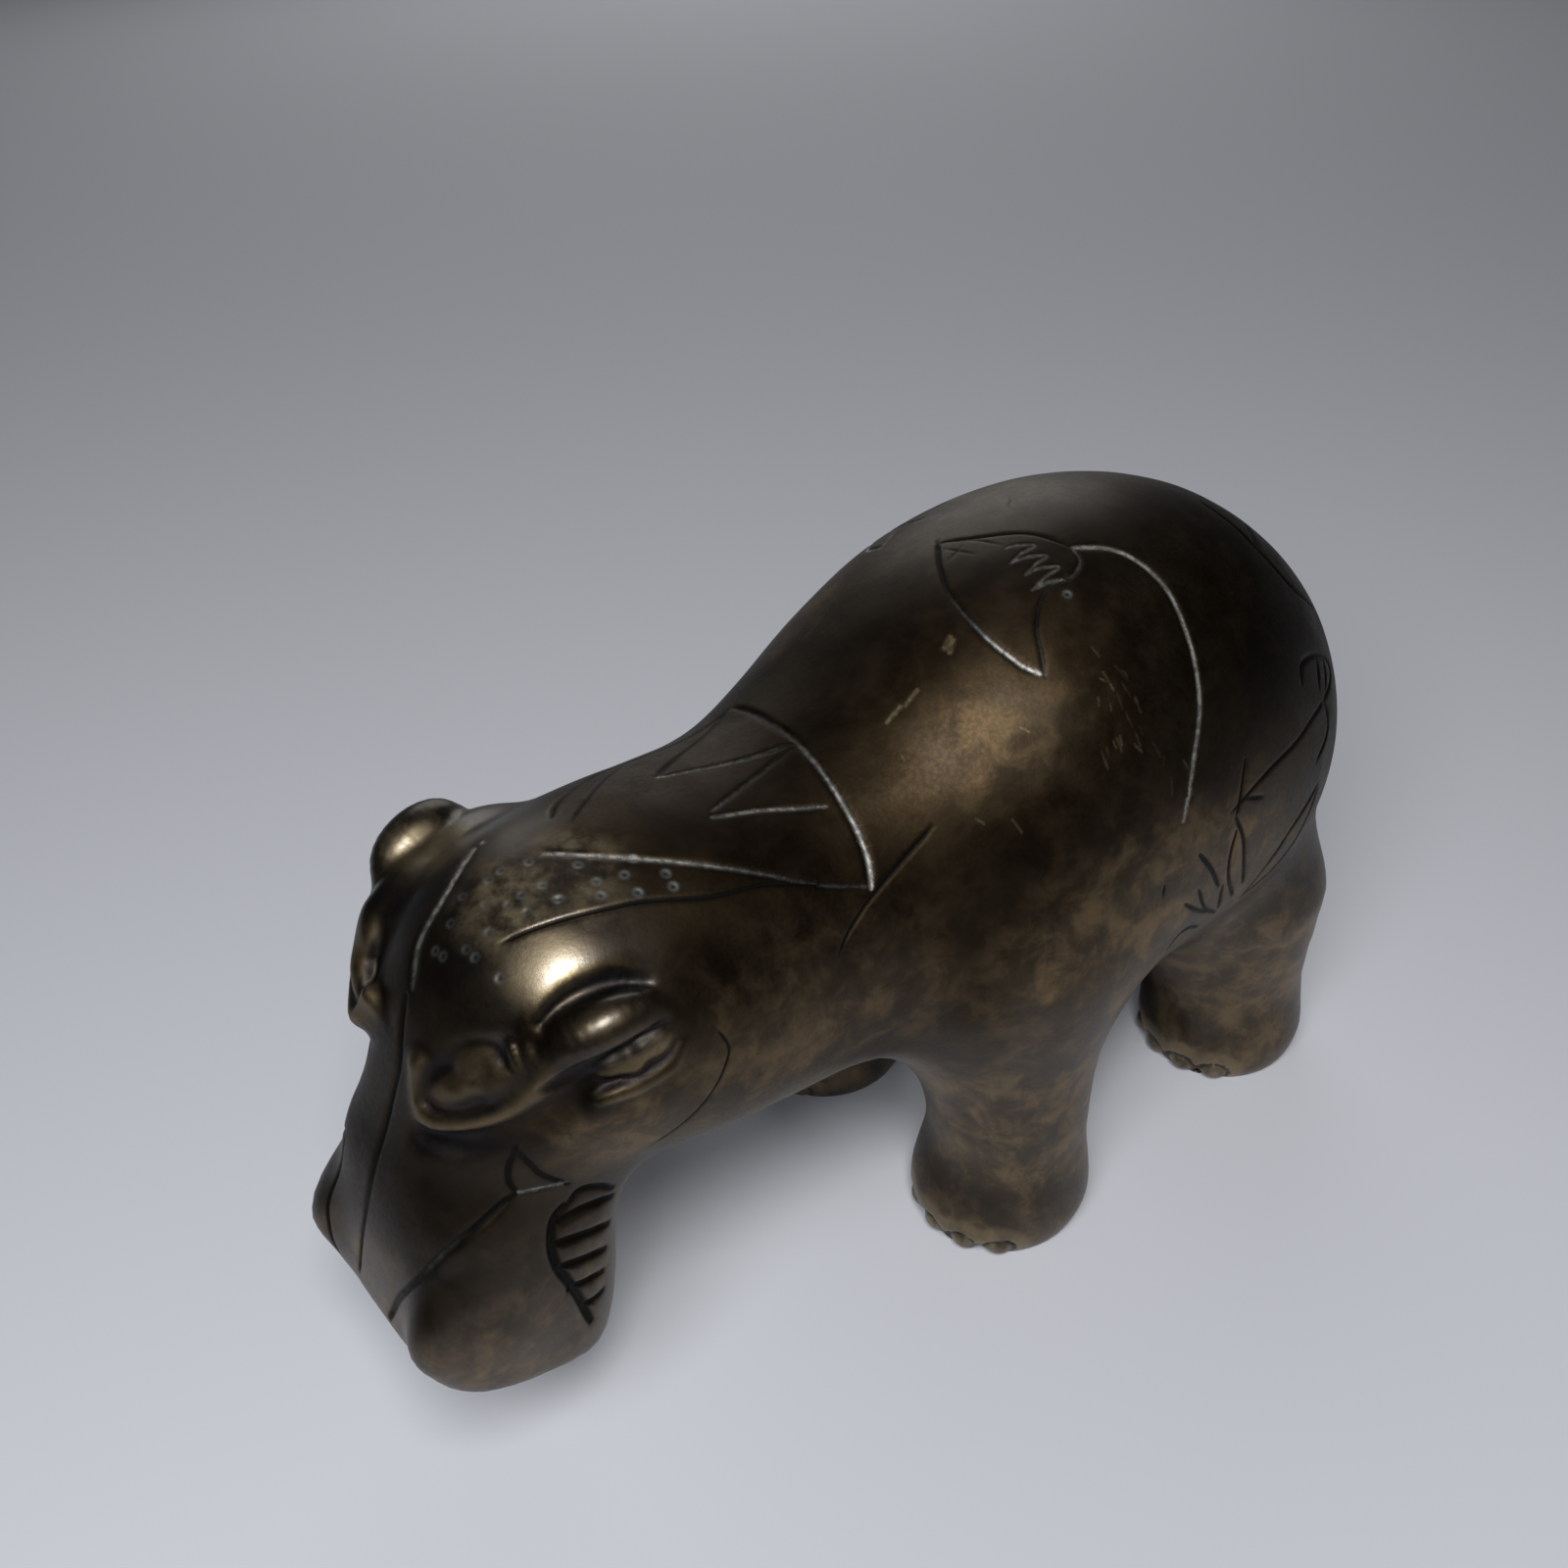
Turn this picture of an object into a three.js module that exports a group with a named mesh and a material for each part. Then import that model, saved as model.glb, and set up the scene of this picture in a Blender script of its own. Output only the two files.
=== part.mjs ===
// A cast hippopotamus figurine that stands on its four feet.
// Millimetres, +Z up. The head looks along -X, its left flank faces -Y, and
// the two halves mirror each other across the plane y = 0.
//
// The body is one smooth signed-distance form made of swelling masses that
// melt into each other. It is walked by a regular grid, thinned where it is
// nearly flat, and mirrored into one closed mesh with flat soles.
import * as THREE from 'three';

// Driving sizes of the masses: centre, radii, and how far each nods forward
const BARREL = { at: [37.3, 0, 74.1], radii: [49.4, 38.0, 42.0], nod: -0.05 };
const RUMP = { at: [59.5, 0, 62.3], radii: [34.9, 32.9, 35.4], nod: 0 };
const SHOULDERS = { at: [16.6, 0, 68.0], radii: [34.3, 30.9, 31.8], nod: 0 };
const SKULL = { at: [-61.0, 0, 76.7], radii: [21.3, 24.5, 21.3], nod: 0.30 };
const JAW = { at: [-63.6, 0, 55.6], radii: [14.9, 13.2, 9.4], nod: 0.76 };
const NOSTRIL = { at: [-86.9, 14.6, 42.1], radii: [8.4, 3.2, 6.5], nod: 0 };

// The neck is a stout tapered rod, a little wider than it is tall
const NECK = { from: [0.9, 0, 67.4], to: [-39.5, 0, 71.8], thick: [27.7, 26.5], widen: 1.03 };

// The muzzle is a soft-cornered block that hangs from the skull and widens
// towards the lips, where it is cut off nearly flat; half is its half length,
// half width and half thickness
const MUZZLE = { at: [-76.8, 0, 45.0], nod: 1.404, half: [28.1, 19.6, 16.6], corner: 2.8 };
const MUZZLE_WIDENING = 0.156;
const LIPS = { reach: 18.9, nod: 1.19, soft: 5.3 };
const MUZZLE_THINNING = 0.04;

// Legs: where the foot stands, the ankle radius, the foot radius and its step
// forward, and the point and radius where the leg enters the body
const FORELEG = {
  foot: [10.0, 23.2],
  ankle: 13.0,
  sole: 13.7,
  step: 3.4,
  hip: [9.1, 20.2, 58.0],
  thigh: 15.9,
};
const HINDLEG = {
  foot: [70.8, 23.6],
  ankle: 12.4,
  sole: 13.9,
  step: 3.1,
  hip: [68.4, 19.6, 35.1],
  thigh: 18.4,
};
const ANKLE_HEIGHT = 6.0;
const SOLE_SWELL_HEIGHT = 9.0;
const TOE_RADII = [3.2, 3.0, 2.9];
const TOE_INSET = 2.9;
const TOE_HEIGHT = 2.7;
const TOE_STEP_DEGREES = 27.0;
const TOES = 4;
const FORE_TOES_TURNED_OUT = 9.0;
const HIND_TOES_TURNED_OUT = -2.0;

// Ear: a soft roll over a hollow
const EAR_ALONG = [0.95, 0.18, 0.24];
const EAR_OUT = [-0.28, 0.76, 0.58];
const EAR_ROLL = [[-71.6, 17.6, 85.0], [-65.0, 21.2, 87.8], [-58.4, 22.2, 87.6]];
const EAR_ROLL_THICK = [1.6, 4.0, 2.6];
const EAR_HOLLOW = { at: [-64.6, 25.6, 83.2], radii: [8.0, 2.2, 2.4] };

// Eye: a pocket under the brow with a low eyeball in it, closed below by a
// heavy lid that runs back to the ear
const LID = [[-82.2, 6.0, 81.0], [-83.0, 8.4, 76.0], [-78.7, 15.0, 78.2], [-73.0, 20.0, 84.2]];
const LID_THICK = [1.4, 2.0, 2.1, 2.2];
const SOCKET = { at: [-79.0, 14.3, 83.0], radii: [7.2, 1.9, 3.1] };
const EYEBALL = { at: [-78.4, 13.4, 82.2], radii: [5.0, 1.9, 2.8] };
const EYE_ALONG = [-0.587, -0.64, -0.497];
const EYE_OUT = [-0.8, 0.5, 0.3];

// Middle of the length; the finished mesh has it at x = 0
const MIDDLE_X = -0.38;

// How the surface is walked and thinned
const GRID = 1.6;
const BOX_FRONT = -104;
const BOX_HIGH = [100, 46, 124];
const TRIANGLES_PER_SIDE = 4700;
const EVENNESS = 0.0003;

// Small vector helpers

const add = (a, b, k = 1) => [a[0] + b[0] * k, a[1] + b[1] * k, a[2] + b[2] * k];
const dot = (a, b) => a[0] * b[0] + a[1] * b[1] + a[2] * b[2];
const cross = (a, b) => [
  a[1] * b[2] - a[2] * b[1],
  a[2] * b[0] - a[0] * b[2],
  a[0] * b[1] - a[1] * b[0],
];
const unit = (a) => {
  const length = Math.hypot(...a);
  return a.map((v) => v / length);
};

// A frame with its first axis along, its second as near to out as it can be
function frame(along, out) {
  const a = unit(along);
  const n = unit(add(out, a, -dot(out, a)));
  return [a, n, cross(a, n)];
}

// A frame that nods the head-side end of its first axis down by an angle
const nodding = (angle) => [
  [Math.cos(angle), 0, Math.sin(angle)],
  [0, 1, 0],
  [-Math.sin(angle), 0, Math.cos(angle)],
];

const EAR_FRAME = frame(EAR_ALONG, EAR_OUT);
const EYE_FRAME = frame(EYE_ALONG, EYE_OUT);

// Joining forms

function meld(a, b, soft) {
  const h = Math.max(soft - Math.abs(a - b), 0) / soft;
  return Math.min(a, b) - h * h * soft * 0.25;
}

const carve = (a, b, soft) => -meld(-a, b, soft);

// Basic forms, each a signed distance that is negative inside

function ellipsoid(p, at, radii, axes = null) {
  let q = [p[0] - at[0], p[1] - at[1], p[2] - at[2]];
  if (axes) {
    q = [dot(q, axes[0]), dot(q, axes[1]), dot(q, axes[2])];
  }
  const near = Math.hypot(q[0] / radii[0], q[1] / radii[1], q[2] / radii[2]);
  const steep = Math.hypot(q[0] / radii[0] ** 2, q[1] / radii[1] ** 2, q[2] / radii[2] ** 2);
  return (near * (near - 1)) / Math.max(steep, 1e-6);
}

const mass = (p, form) => ellipsoid(p, form.at, form.radii, nodding(form.nod));

function rod(p, from, to, thickFrom, thickTo, widen = 1) {
  const d = add(to, from, -1);
  const q = add(p, from, -1);
  const t = Math.min(Math.max(dot(q, d) / dot(d, d), 0), 1);
  const r = add(q, d, -t);
  return Math.hypot(r[0], r[1] / widen, r[2]) - (thickFrom + (thickTo - thickFrom) * t);
}

function bentRod(p, points, thick) {
  let d = Infinity;
  for (let i = 1; i < points.length; i += 1) {
    d = Math.min(d, rod(p, points[i - 1], points[i], thick[i - 1], thick[i]));
  }
  return d;
}

function softBlock(p, form) {
  const [length, width, thick] = form.half;
  const x = p[0] - form.at[0];
  const z = p[2] - form.at[2];
  const s = -x * Math.cos(form.nod) - z * Math.sin(form.nod);
  const n = -x * Math.sin(form.nod) + z * Math.cos(form.nod);
  const w = width * Math.max(1 + (MUZZLE_WIDENING * s) / length, 0.3);
  const h = thick * Math.max(1 - (MUZZLE_THINNING * s) / length, 0.3);
  const q = form.corner;
  const sum = Math.abs(s / length) ** q + Math.abs(p[1] / w) ** q + Math.abs(n / h) ** q;
  return ((sum + 1e-9) ** (1 / q) - 1) * thick * 0.95;
}

// The parts of the animal, for a point on the side where y is positive

function trunk(p) {
  let d = mass(p, BARREL);
  d = meld(d, mass(p, RUMP), 18);
  d = meld(d, mass(p, SHOULDERS), 22);
  return meld(d, rod(p, NECK.from, NECK.to, ...NECK.thick, NECK.widen), 16);
}

function head(p) {
  const x = p[0] - MUZZLE.at[0];
  const z = p[2] - MUZZLE.at[2];
  const below = LIPS.reach + x * Math.cos(LIPS.nod) + z * Math.sin(LIPS.nod);
  return meld(mass(p, SKULL), carve(softBlock(p, MUZZLE), below, LIPS.soft), 9);
}

function toes(p, form, turnedOut) {
  const [x, y] = form.foot;
  const reach = form.sole - TOE_INSET;
  let d = Infinity;
  for (let i = 0; i < TOES; i += 1) {
    const degrees = turnedOut + (i - (TOES - 1) / 2) * TOE_STEP_DEGREES;
    const a = (degrees * Math.PI) / 180;
    const at = [x - form.step - reach * Math.cos(a), y + reach * Math.sin(a), TOE_HEIGHT];
    const axes = [[-Math.cos(a), Math.sin(a), 0], [Math.sin(a), Math.cos(a), 0], [0, 0, 1]];
    d = Math.min(d, ellipsoid(p, at, TOE_RADII, axes));
  }
  return d;
}

function leg(p, form, turnedOut) {
  const [x, y] = form.foot;
  let d = rod(p, form.hip, [x, y, ANKLE_HEIGHT], form.thigh, form.ankle);
  const swell = [form.sole, form.sole * 0.93, SOLE_SWELL_HEIGHT];
  d = meld(d, ellipsoid(p, [x - form.step, y, 5], swell), 9);
  return meld(d, toes(p, form, turnedOut), 1);
}

function ear(p, body) {
  const d = meld(body, bentRod(p, EAR_ROLL, EAR_ROLL_THICK), 1.8);
  return carve(d, ellipsoid(p, EAR_HOLLOW.at, EAR_HOLLOW.radii, EAR_FRAME), 1.6);
}

function eye(p, body) {
  const d = meld(body, bentRod(p, LID, LID_THICK), 3);
  const pocket = carve(d, ellipsoid(p, SOCKET.at, SOCKET.radii, EYE_FRAME), 3);
  return meld(pocket, ellipsoid(p, EYEBALL.at, EYEBALL.radii, EYE_FRAME), 1.8);
}

// The whole animal before its soles are cut flat at z = 0
function hippo(x, y, z) {
  const p = [x, Math.abs(y), z];
  let d = meld(trunk(p), head(p), 12);
  d = meld(d, mass(p, JAW), 7);
  d = meld(d, leg(p, FORELEG, FORE_TOES_TURNED_OUT), 14);
  d = meld(d, leg(p, HINDLEG, HIND_TOES_TURNED_OUT), 10);
  d = ear(p, eye(p, d));
  return meld(d, mass(p, NOSTRIL), 7);
}

// Moves a point onto the surface; sideways is 0 on the middle plane and
// upward is 0 on the ground, so such points stay there
function settle(p, sideways, upward) {
  const h = 0.02;
  let q = p;
  for (let i = 0; i < 5; i += 1) {
    const [x, y, z] = q;
    const g = [
      (hippo(x + h, y, z) - hippo(x - h, y, z)) / (2 * h),
      ((hippo(x, y + h, z) - hippo(x, y - h, z)) / (2 * h)) * sideways,
      ((hippo(x, y, z + h) - hippo(x, y, z - h)) / (2 * h)) * upward,
    ];
    const step = Math.min(Math.max(hippo(x, y, z), -1), 1) / Math.max(dot(g, g), 0.25);
    q = add(q, g, -step);
  }
  return q;
}

// Walks the y >= 0 half on a grid whose first cells straddle y = 0 and z = 0,
// and returns its points and triangles
function walkHalf() {
  const start = [BOX_FRONT, -GRID / 2, -GRID / 2];
  const count = [0, 1, 2].map((k) => Math.ceil((BOX_HIGH[k] - start[k]) / GRID) + 1);
  const [nx, ny, nz] = count;
  const nodeAt = (i, j, k) => (i * ny + j) * nz + k;
  const value = new Float64Array(nx * ny * nz);
  for (let i = 0; i < nx; i += 1) {
    for (let j = 0; j < ny; j += 1) {
      for (let k = 0; k < nz; k += 1) {
        const [x, y, z] = [start[0] + i * GRID, start[1] + j * GRID, start[2] + k * GRID];
        value[nodeAt(i, j, k)] = k === 0 ? 1 : hippo(x, y, z);
      }
    }
  }
  const points = [];
  const cell = new Int32Array(nx * ny * nz).fill(-1);
  const corners = [0, 1, 2, 3, 4, 5, 6, 7].map((c) => [c & 1, (c >> 1) & 1, (c >> 2) & 1]);
  const edges = [];
  corners.forEach((a, ia) => corners.forEach((b, ib) => {
    if (ib > ia && Math.abs(a[0] - b[0]) + Math.abs(a[1] - b[1]) + Math.abs(a[2] - b[2]) === 1) {
      edges.push([a, b]);
    }
  }));
  for (let i = 0; i < nx - 1; i += 1) {
    for (let j = 0; j < ny - 1; j += 1) {
      for (let k = 0; k < nz - 1; k += 1) {
        let sum = [0, 0, 0];
        let crossings = 0;
        let sides = 0;
        for (const [a, b] of edges) {
          const va = value[nodeAt(i + a[0], j + a[1], k + a[2])];
          const vb = value[nodeAt(i + b[0], j + b[1], k + b[2])];
          if (va < 0 !== vb < 0) {
            const t = k + a[2] === 0 && b[2] > a[2] ? 0.5 : va / (va - vb);
            sum = add(add(sum, [i, j, k]), add(a, add(b, a, -1), t));
            crossings += 1;
            sides += a[2] === b[2] ? 1 : 0;
          }
        }
        if (crossings) {
          const middle = j === 0 ? 0 : 1;
          const ground = k === 0 ? 0 : 1;
          let p = [0, 1, 2].map((m) => start[m] + (sum[m] / crossings) * GRID);
          p = [p[0], p[1] * middle, p[2] * ground];
          p = ground || sides ? settle(p, middle, ground) : p;
          cell[nodeAt(i, j, k)] = points.length;
          points.push({ p, middle: !middle, ground: !ground, rim: !ground && sides > 0 });
        }
      }
    }
  }
  const triangles = [];
  const quad = (a, b, c, d, flip) => {
    const ring = flip ? [d, c, b, a] : [a, b, c, d];
    triangles.push([ring[0], ring[1], ring[2]], [ring[0], ring[2], ring[3]]);
  };
  for (let i = 1; i < nx - 1; i += 1) {
    for (let j = 0; j < ny - 1; j += 1) {
      for (let k = 0; k < nz - 1; k += 1) {
        const inside = value[nodeAt(i, j, k)] < 0;
        if (j > 0 && k > 0 && inside !== value[nodeAt(i + 1, j, k)] < 0) {
          quad(cell[nodeAt(i, j - 1, k - 1)], cell[nodeAt(i, j, k - 1)], cell[nodeAt(i, j, k)],
            cell[nodeAt(i, j - 1, k)], !inside);
        }
        if (k > 0 && inside !== value[nodeAt(i, j + 1, k)] < 0) {
          quad(cell[nodeAt(i - 1, j, k - 1)], cell[nodeAt(i - 1, j, k)], cell[nodeAt(i, j, k)],
            cell[nodeAt(i, j, k - 1)], !inside);
        }
        if (j > 0 && inside !== value[nodeAt(i, j, k + 1)] < 0) {
          quad(cell[nodeAt(i - 1, j - 1, k)], cell[nodeAt(i, j - 1, k)], cell[nodeAt(i, j, k)],
            cell[nodeAt(i - 1, j, k)], !inside);
        }
      }
    }
  }
  return { points, triangles };
}

// A heap that gives the cheapest entry first
class Queue {
  constructor() {
    this.items = [];
  }

  push(item) {
    const list = this.items;
    let i = list.push(item) - 1;
    while (i > 0 && list[(i - 1) >> 1].cost > list[i].cost) {
      const up = (i - 1) >> 1;
      [list[i], list[up]] = [list[up], list[i]];
      i = up;
    }
  }

  pop() {
    const list = this.items;
    const first = list[0];
    const last = list.pop();
    if (list.length) {
      list[0] = last;
      let i = 0;
      for (;;) {
        let least = i;
        for (const child of [2 * i + 1, 2 * i + 2]) {
          if (child < list.length && list[child].cost < list[least].cost) {
            least = child;
          }
        }
        if (least === i) {
          break;
        }
        [list[i], list[least]] = [list[least], list[i]];
        i = least;
      }
    }
    return first;
  }
}

// Thins the half mesh by closing its cheapest edges first. The cost of an
// edge is its distance from the planes that met at its two ends.
function thin({ points, triangles }, wanted) {
  const facesOf = points.map(() => new Set());
  triangles.forEach((t, f) => t.forEach((v) => facesOf[v].add(f)));
  const alive = triangles.map(() => true);
  const age = points.map(() => 0);
  const planes = points.map(() => new Float64Array(10));
  const normalOf = (t, at = null, moved = -1) => {
    const [a, b, c] = t.map((v) => (v === moved ? at : points[v].p));
    return cross(add(b, a, -1), add(c, a, -1));
  };
  const addPlane = (q, n, d, weight) => {
    const v = [n[0], n[1], n[2], d];
    let at = 0;
    for (let r = 0; r < 4; r += 1) {
      for (let s = r; s < 4; s += 1) {
        q[at] += weight * v[r] * v[s];
        at += 1;
      }
    }
  };
  triangles.forEach((t) => {
    const n = normalOf(t);
    const area = Math.hypot(...n);
    const u = n.map((v) => v / Math.max(area, 1e-9));
    t.forEach((v) => addPlane(planes[v], u, -dot(u, points[t[0]].p), area / 2));
  });
  const away = (q, p) => {
    const v = [p[0], p[1], p[2], 1];
    let sum = 0;
    let at = 0;
    for (let r = 0; r < 4; r += 1) {
      for (let s = r; s < 4; s += 1) {
        sum += (r === s ? 1 : 2) * q[at] * v[r] * v[s];
        at += 1;
      }
    }
    return sum;
  };
  const held = (v) => (points[v].middle ? 1 : 0) + (points[v].ground ? 1 : 0) + (points[v].rim ? 1 : 0);
  const queue = new Queue();
  const offer = (a, b) => {
    const q = planes[a].map((v, i) => v + planes[b][i]);
    const [pa, pb] = [points[a].p, points[b].p];
    let choices = [pa, pb, add(pa, add(pb, pa, -1), 0.5)];
    if (held(a) !== held(b)) {
      choices = [held(a) > held(b) ? pa : pb];
    }
    const length = Math.hypot(...add(pa, pb, -1));
    let best = null;
    for (const p of choices) {
      const cost = away(q, p) + EVENNESS * length * length;
      if (!best || cost < best.cost) {
        best = { cost, p };
      }
    }
    queue.push({ ...best, a, b, ageA: age[a], ageB: age[b] });
  };
  const neighbours = (v) => {
    const found = new Set();
    facesOf[v].forEach((f) => triangles[f].forEach((w) => found.add(w)));
    found.delete(v);
    return found;
  };
  points.forEach((_, v) => neighbours(v).forEach((w) => {
    if (w > v) {
      offer(v, w);
    }
  }));
  const turnsOver = (v, other, p) => {
    for (const f of facesOf[v]) {
      if (!triangles[f].includes(other)) {
        const before = normalOf(triangles[f]);
        const after = normalOf(triangles[f], p, v);
        const size = Math.hypot(...after);
        if (size < 0.02 || dot(before, after) < 0.35 * Math.hypot(...before) * size) {
          return true;
        }
      }
    }
    return false;
  };
  // True where closing the edge would join two points of the middle plane
  // across the half, which the mirrored mesh can't hold
  const bridges = (v, other) => {
    if (points[v].middle || !points[other].middle) {
      return false;
    }
    const ring = neighbours(other);
    return [...neighbours(v)].some((w) => points[w].middle && w !== other && !ring.has(w));
  };
  let left = triangles.length;
  while (left > wanted && queue.items.length) {
    const { a, b, p, ageA, ageB } = queue.pop();
    if (age[a] !== ageA || age[b] !== ageB) {
      continue;
    }
    const shared = [...facesOf[a]].filter((f) => facesOf[b].has(f));
    const ringB = neighbours(b);
    const common = [...neighbours(a)].filter((v) => ringB.has(v)).length;
    const bothMiddle = points[a].middle && points[b].middle;
    const closed = common === shared.length && (!bothMiddle || shared.length === 1);
    const spoils = !closed || bridges(a, b) || bridges(b, a);
    if (spoils || turnsOver(a, b, p) || turnsOver(b, a, p)) {
      continue;
    }
    const keeper = held(a) >= held(b) ? points[a] : points[b];
    points[a] = { ...keeper, p };
    planes[b].forEach((v, i) => {
      planes[a][i] += v;
    });
    shared.forEach((f) => {
      alive[f] = false;
      triangles[f].forEach((v) => facesOf[v].delete(f));
      left -= 1;
    });
    facesOf[b].forEach((f) => {
      triangles[f] = triangles[f].map((v) => (v === b ? a : v));
      facesOf[a].add(f);
    });
    facesOf[b].clear();
    age[b] = -1;
    age[a] += 1;
    neighbours(a).forEach((v) => offer(a, v));
  }
  return { points, triangles: triangles.filter((_, f) => alive[f]) };
}

// Settles the kept points and mirrors the half into one closed mesh
function bothHalves({ points, triangles }) {
  const position = [];
  const index = [];
  const right = new Map();
  const left = new Map();
  const used = new Set(triangles.flat());
  used.forEach((v) => {
    const { p, middle, ground, rim } = points[v];
    const q = ground && !rim ? p : settle(p, middle ? 0 : 1, ground ? 0 : 1);
    right.set(v, position.length / 3);
    position.push(q[0] - MIDDLE_X, q[1], q[2]);
    left.set(v, middle ? right.get(v) : position.length / 3);
    if (!middle) {
      position.push(q[0] - MIDDLE_X, -q[1], q[2]);
    }
  });
  triangles.forEach(([a, b, c]) => {
    index.push(right.get(a), right.get(b), right.get(c));
    index.push(left.get(a), left.get(c), left.get(b));
  });
  const geometry = new THREE.BufferGeometry();
  geometry.setAttribute('position', new THREE.Float32BufferAttribute(position, 3));
  geometry.setIndex(index);
  geometry.computeVertexNormals();
  return geometry;
}

const bronze = new THREE.MeshStandardMaterial({ color: 0x4a3a28, roughness: 0.36, metalness: 0.9 });

const figure = new THREE.Mesh(bothHalves(thin(walkHalf(), TRIANGLES_PER_SIDE)), bronze);
figure.name = 'hippo_figure';

const part = new THREE.Group();
part.add(figure);

export default part;
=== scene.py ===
import math
from functools import partial
import bpy
import numpy as np
from mathutils import Matrix, Vector
from mathutils.kdtree import KDTree


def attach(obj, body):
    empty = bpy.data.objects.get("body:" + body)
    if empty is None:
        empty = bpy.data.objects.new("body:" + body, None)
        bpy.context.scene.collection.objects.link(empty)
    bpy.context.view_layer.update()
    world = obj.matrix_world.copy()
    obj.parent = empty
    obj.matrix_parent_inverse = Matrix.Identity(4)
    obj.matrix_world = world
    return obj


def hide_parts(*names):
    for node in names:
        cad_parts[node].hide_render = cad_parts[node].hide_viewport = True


# A cast hippopotamus figurine in dark patinated bronze. The CAD solid gives
# its place and size; this script makes the same form again with a finer skin,
# cuts the ornament into it, and gives it its finish. The forms are in mm in
# their own frame, whose x is moved by MIDDLE_X to reach the row frame.
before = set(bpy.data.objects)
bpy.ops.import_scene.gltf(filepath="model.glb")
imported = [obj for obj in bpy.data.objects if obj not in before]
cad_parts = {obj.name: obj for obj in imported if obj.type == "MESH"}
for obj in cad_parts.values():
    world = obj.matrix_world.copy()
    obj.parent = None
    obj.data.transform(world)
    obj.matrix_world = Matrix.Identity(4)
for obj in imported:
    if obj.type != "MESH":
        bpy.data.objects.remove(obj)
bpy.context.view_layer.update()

MM = 0.001
MIDDLE_X = -0.38

# Masses of the body: centre, radii and how far each nods forward
BARREL = {"at": (37.3, 0, 74.1), "radii": (49.4, 38.0, 42.0), "nod": -0.05}
RUMP = {"at": (59.5, 0, 62.3), "radii": (34.9, 32.9, 35.4), "nod": 0}
SHOULDERS = {"at": (16.6, 0, 68.0), "radii": (34.3, 30.9, 31.8), "nod": 0}
SKULL = {"at": (-61.0, 0, 76.7), "radii": (21.3, 24.5, 21.3), "nod": 0.30}
JAW = {"at": (-63.6, 0, 55.6), "radii": (14.9, 13.2, 9.4), "nod": 0.76}
NOSTRIL = {"at": (-86.9, 14.6, 42.1), "radii": (8.4, 3.2, 6.5), "nod": 0}

# The neck is a stout tapered rod, a little wider than it is tall
NECK = {"from": (0.9, 0, 67.4), "to": (-39.5, 0, 71.8), "thick": (27.7, 26.5), "widen": 1.03}

# The muzzle is a soft-cornered block that hangs from the skull, widens and
# grows squarer towards the lips, and is cut off nearly flat there
MUZZLE = {"at": (-76.8, 0, 45.0), "nod": 1.404, "half": (28.1, 19.6, 16.6), "corner": 2.8}
MUZZLE_WIDENING = 0.156
MUZZLE_THINNING = 0.04
MUZZLE_SQUARER = 0.7
LIPS = {"reach": 18.6, "nod": 1.19, "soft": 3.8}

# Legs: where the foot stands, radii of ankle and foot, the foot's step
# forward, and the point and radius where the leg enters the body
FORELEG = {"foot": (10.0, 23.2), "ankle": 13.0, "sole": 13.7, "step": 3.4}
FORELEG.update({"hip": (9.1, 20.2, 58.0), "thigh": 15.9, "turned_out": math.radians(9)})
HINDLEG = {"foot": (70.8, 23.6), "ankle": 12.4, "sole": 13.9, "step": 3.1}
HINDLEG.update({"hip": (68.4, 19.6, 35.1), "thigh": 18.4, "turned_out": math.radians(-2)})
ANKLE_HEIGHT = 6.0
SOLE_SWELL_HEIGHT = 9.0
TOE_RADII = (3.2, 3.0, 2.9)
TOE_INSET = 2.5
TOE_HEIGHT = 2.7
TOE_STEP = math.radians(27)
TOE_GROOVE = 0.35
TOES = 4
FOOT_TOP = 14
FAR = 1e3

# Ear: a soft roll with a crease over it and a groove close under it, then a
# hollow with low crumbs in it and a thin rim below; the root is for the right
EAR_ALONG = (0.95, 0.18, 0.24)
EAR_OUT = (-0.28, 0.76, 0.58)
EAR_ROLL = [
    (-71.8, 16.4, 83.6), (-68.2, 18.9, 85.2), (-64.5, 20.1, 86.2), (-60.6, 20.7, 86.6), (-57.6, 21.0, 85.8),
]
EAR_ROLL_THICK = (0.5, 3.1, 3.9, 3.6, 2.2)
EAR_GROOVE = [
    (-73.4, 20.2, 81.6), (-69.4, 22.2, 83.2), (-65.6, 23.4, 84.1), (-61.8, 24.0, 84.7), (-57.4, 24.2, 85.0),
]
EAR_GROOVE_THICK = (0.5, 1.3, 1.6, 1.6, 0.8)
EAR_CREASE = [
    (-70.6, 16.7, 88.6), (-68.0, 17.0, 90.2), (-64.8, 17.8, 91.2), (-61.2, 18.9, 91.2), (-57.6, 20.6, 90.0),
]
EAR_CREASE_THICK = (0.1, 0.5, 0.8, 0.8, 0.2)
EAR_ROOT = [
    ((-69.5, 13.0, 82.5), (5.5, 3.5, 4.5)),
    ((-64.0, 15.5, 83.0), (6.5, 4.0, 4.0)),
    ((-57.0, 16.0, 84.5), (7.0, 4.5, 4.0)),
]
EAR_HOLLOW = {"at": (-64.0, 24.6, 81.6), "radii": (8.0, 2.4, 2.3)}
EAR_CRUMBS = [
    ((-61.2, 22.6, 82.2), (3.4, 1.3, 2.0)),
    ((-64.6, 22.2, 81.8), (1.9, 1.1, 1.4)),
    ((-58.9, 23.4, 82.9), (1.6, 1.1, 1.4)),
    ((-62.4, 23.5, 81.4), (1.2, 0.7, 0.9)),
    ((-60.4, 23.6, 82.9), (1.1, 0.6, 0.8)),
]
EAR_RIM = [
    (-67.6, 22.9, 78.0), (-65.7, 23.6, 78.5), (-62.1, 24.5, 78.6), (-57.8, 25.0, 79.6), (-56.2, 24.7, 81.2),
]
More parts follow.
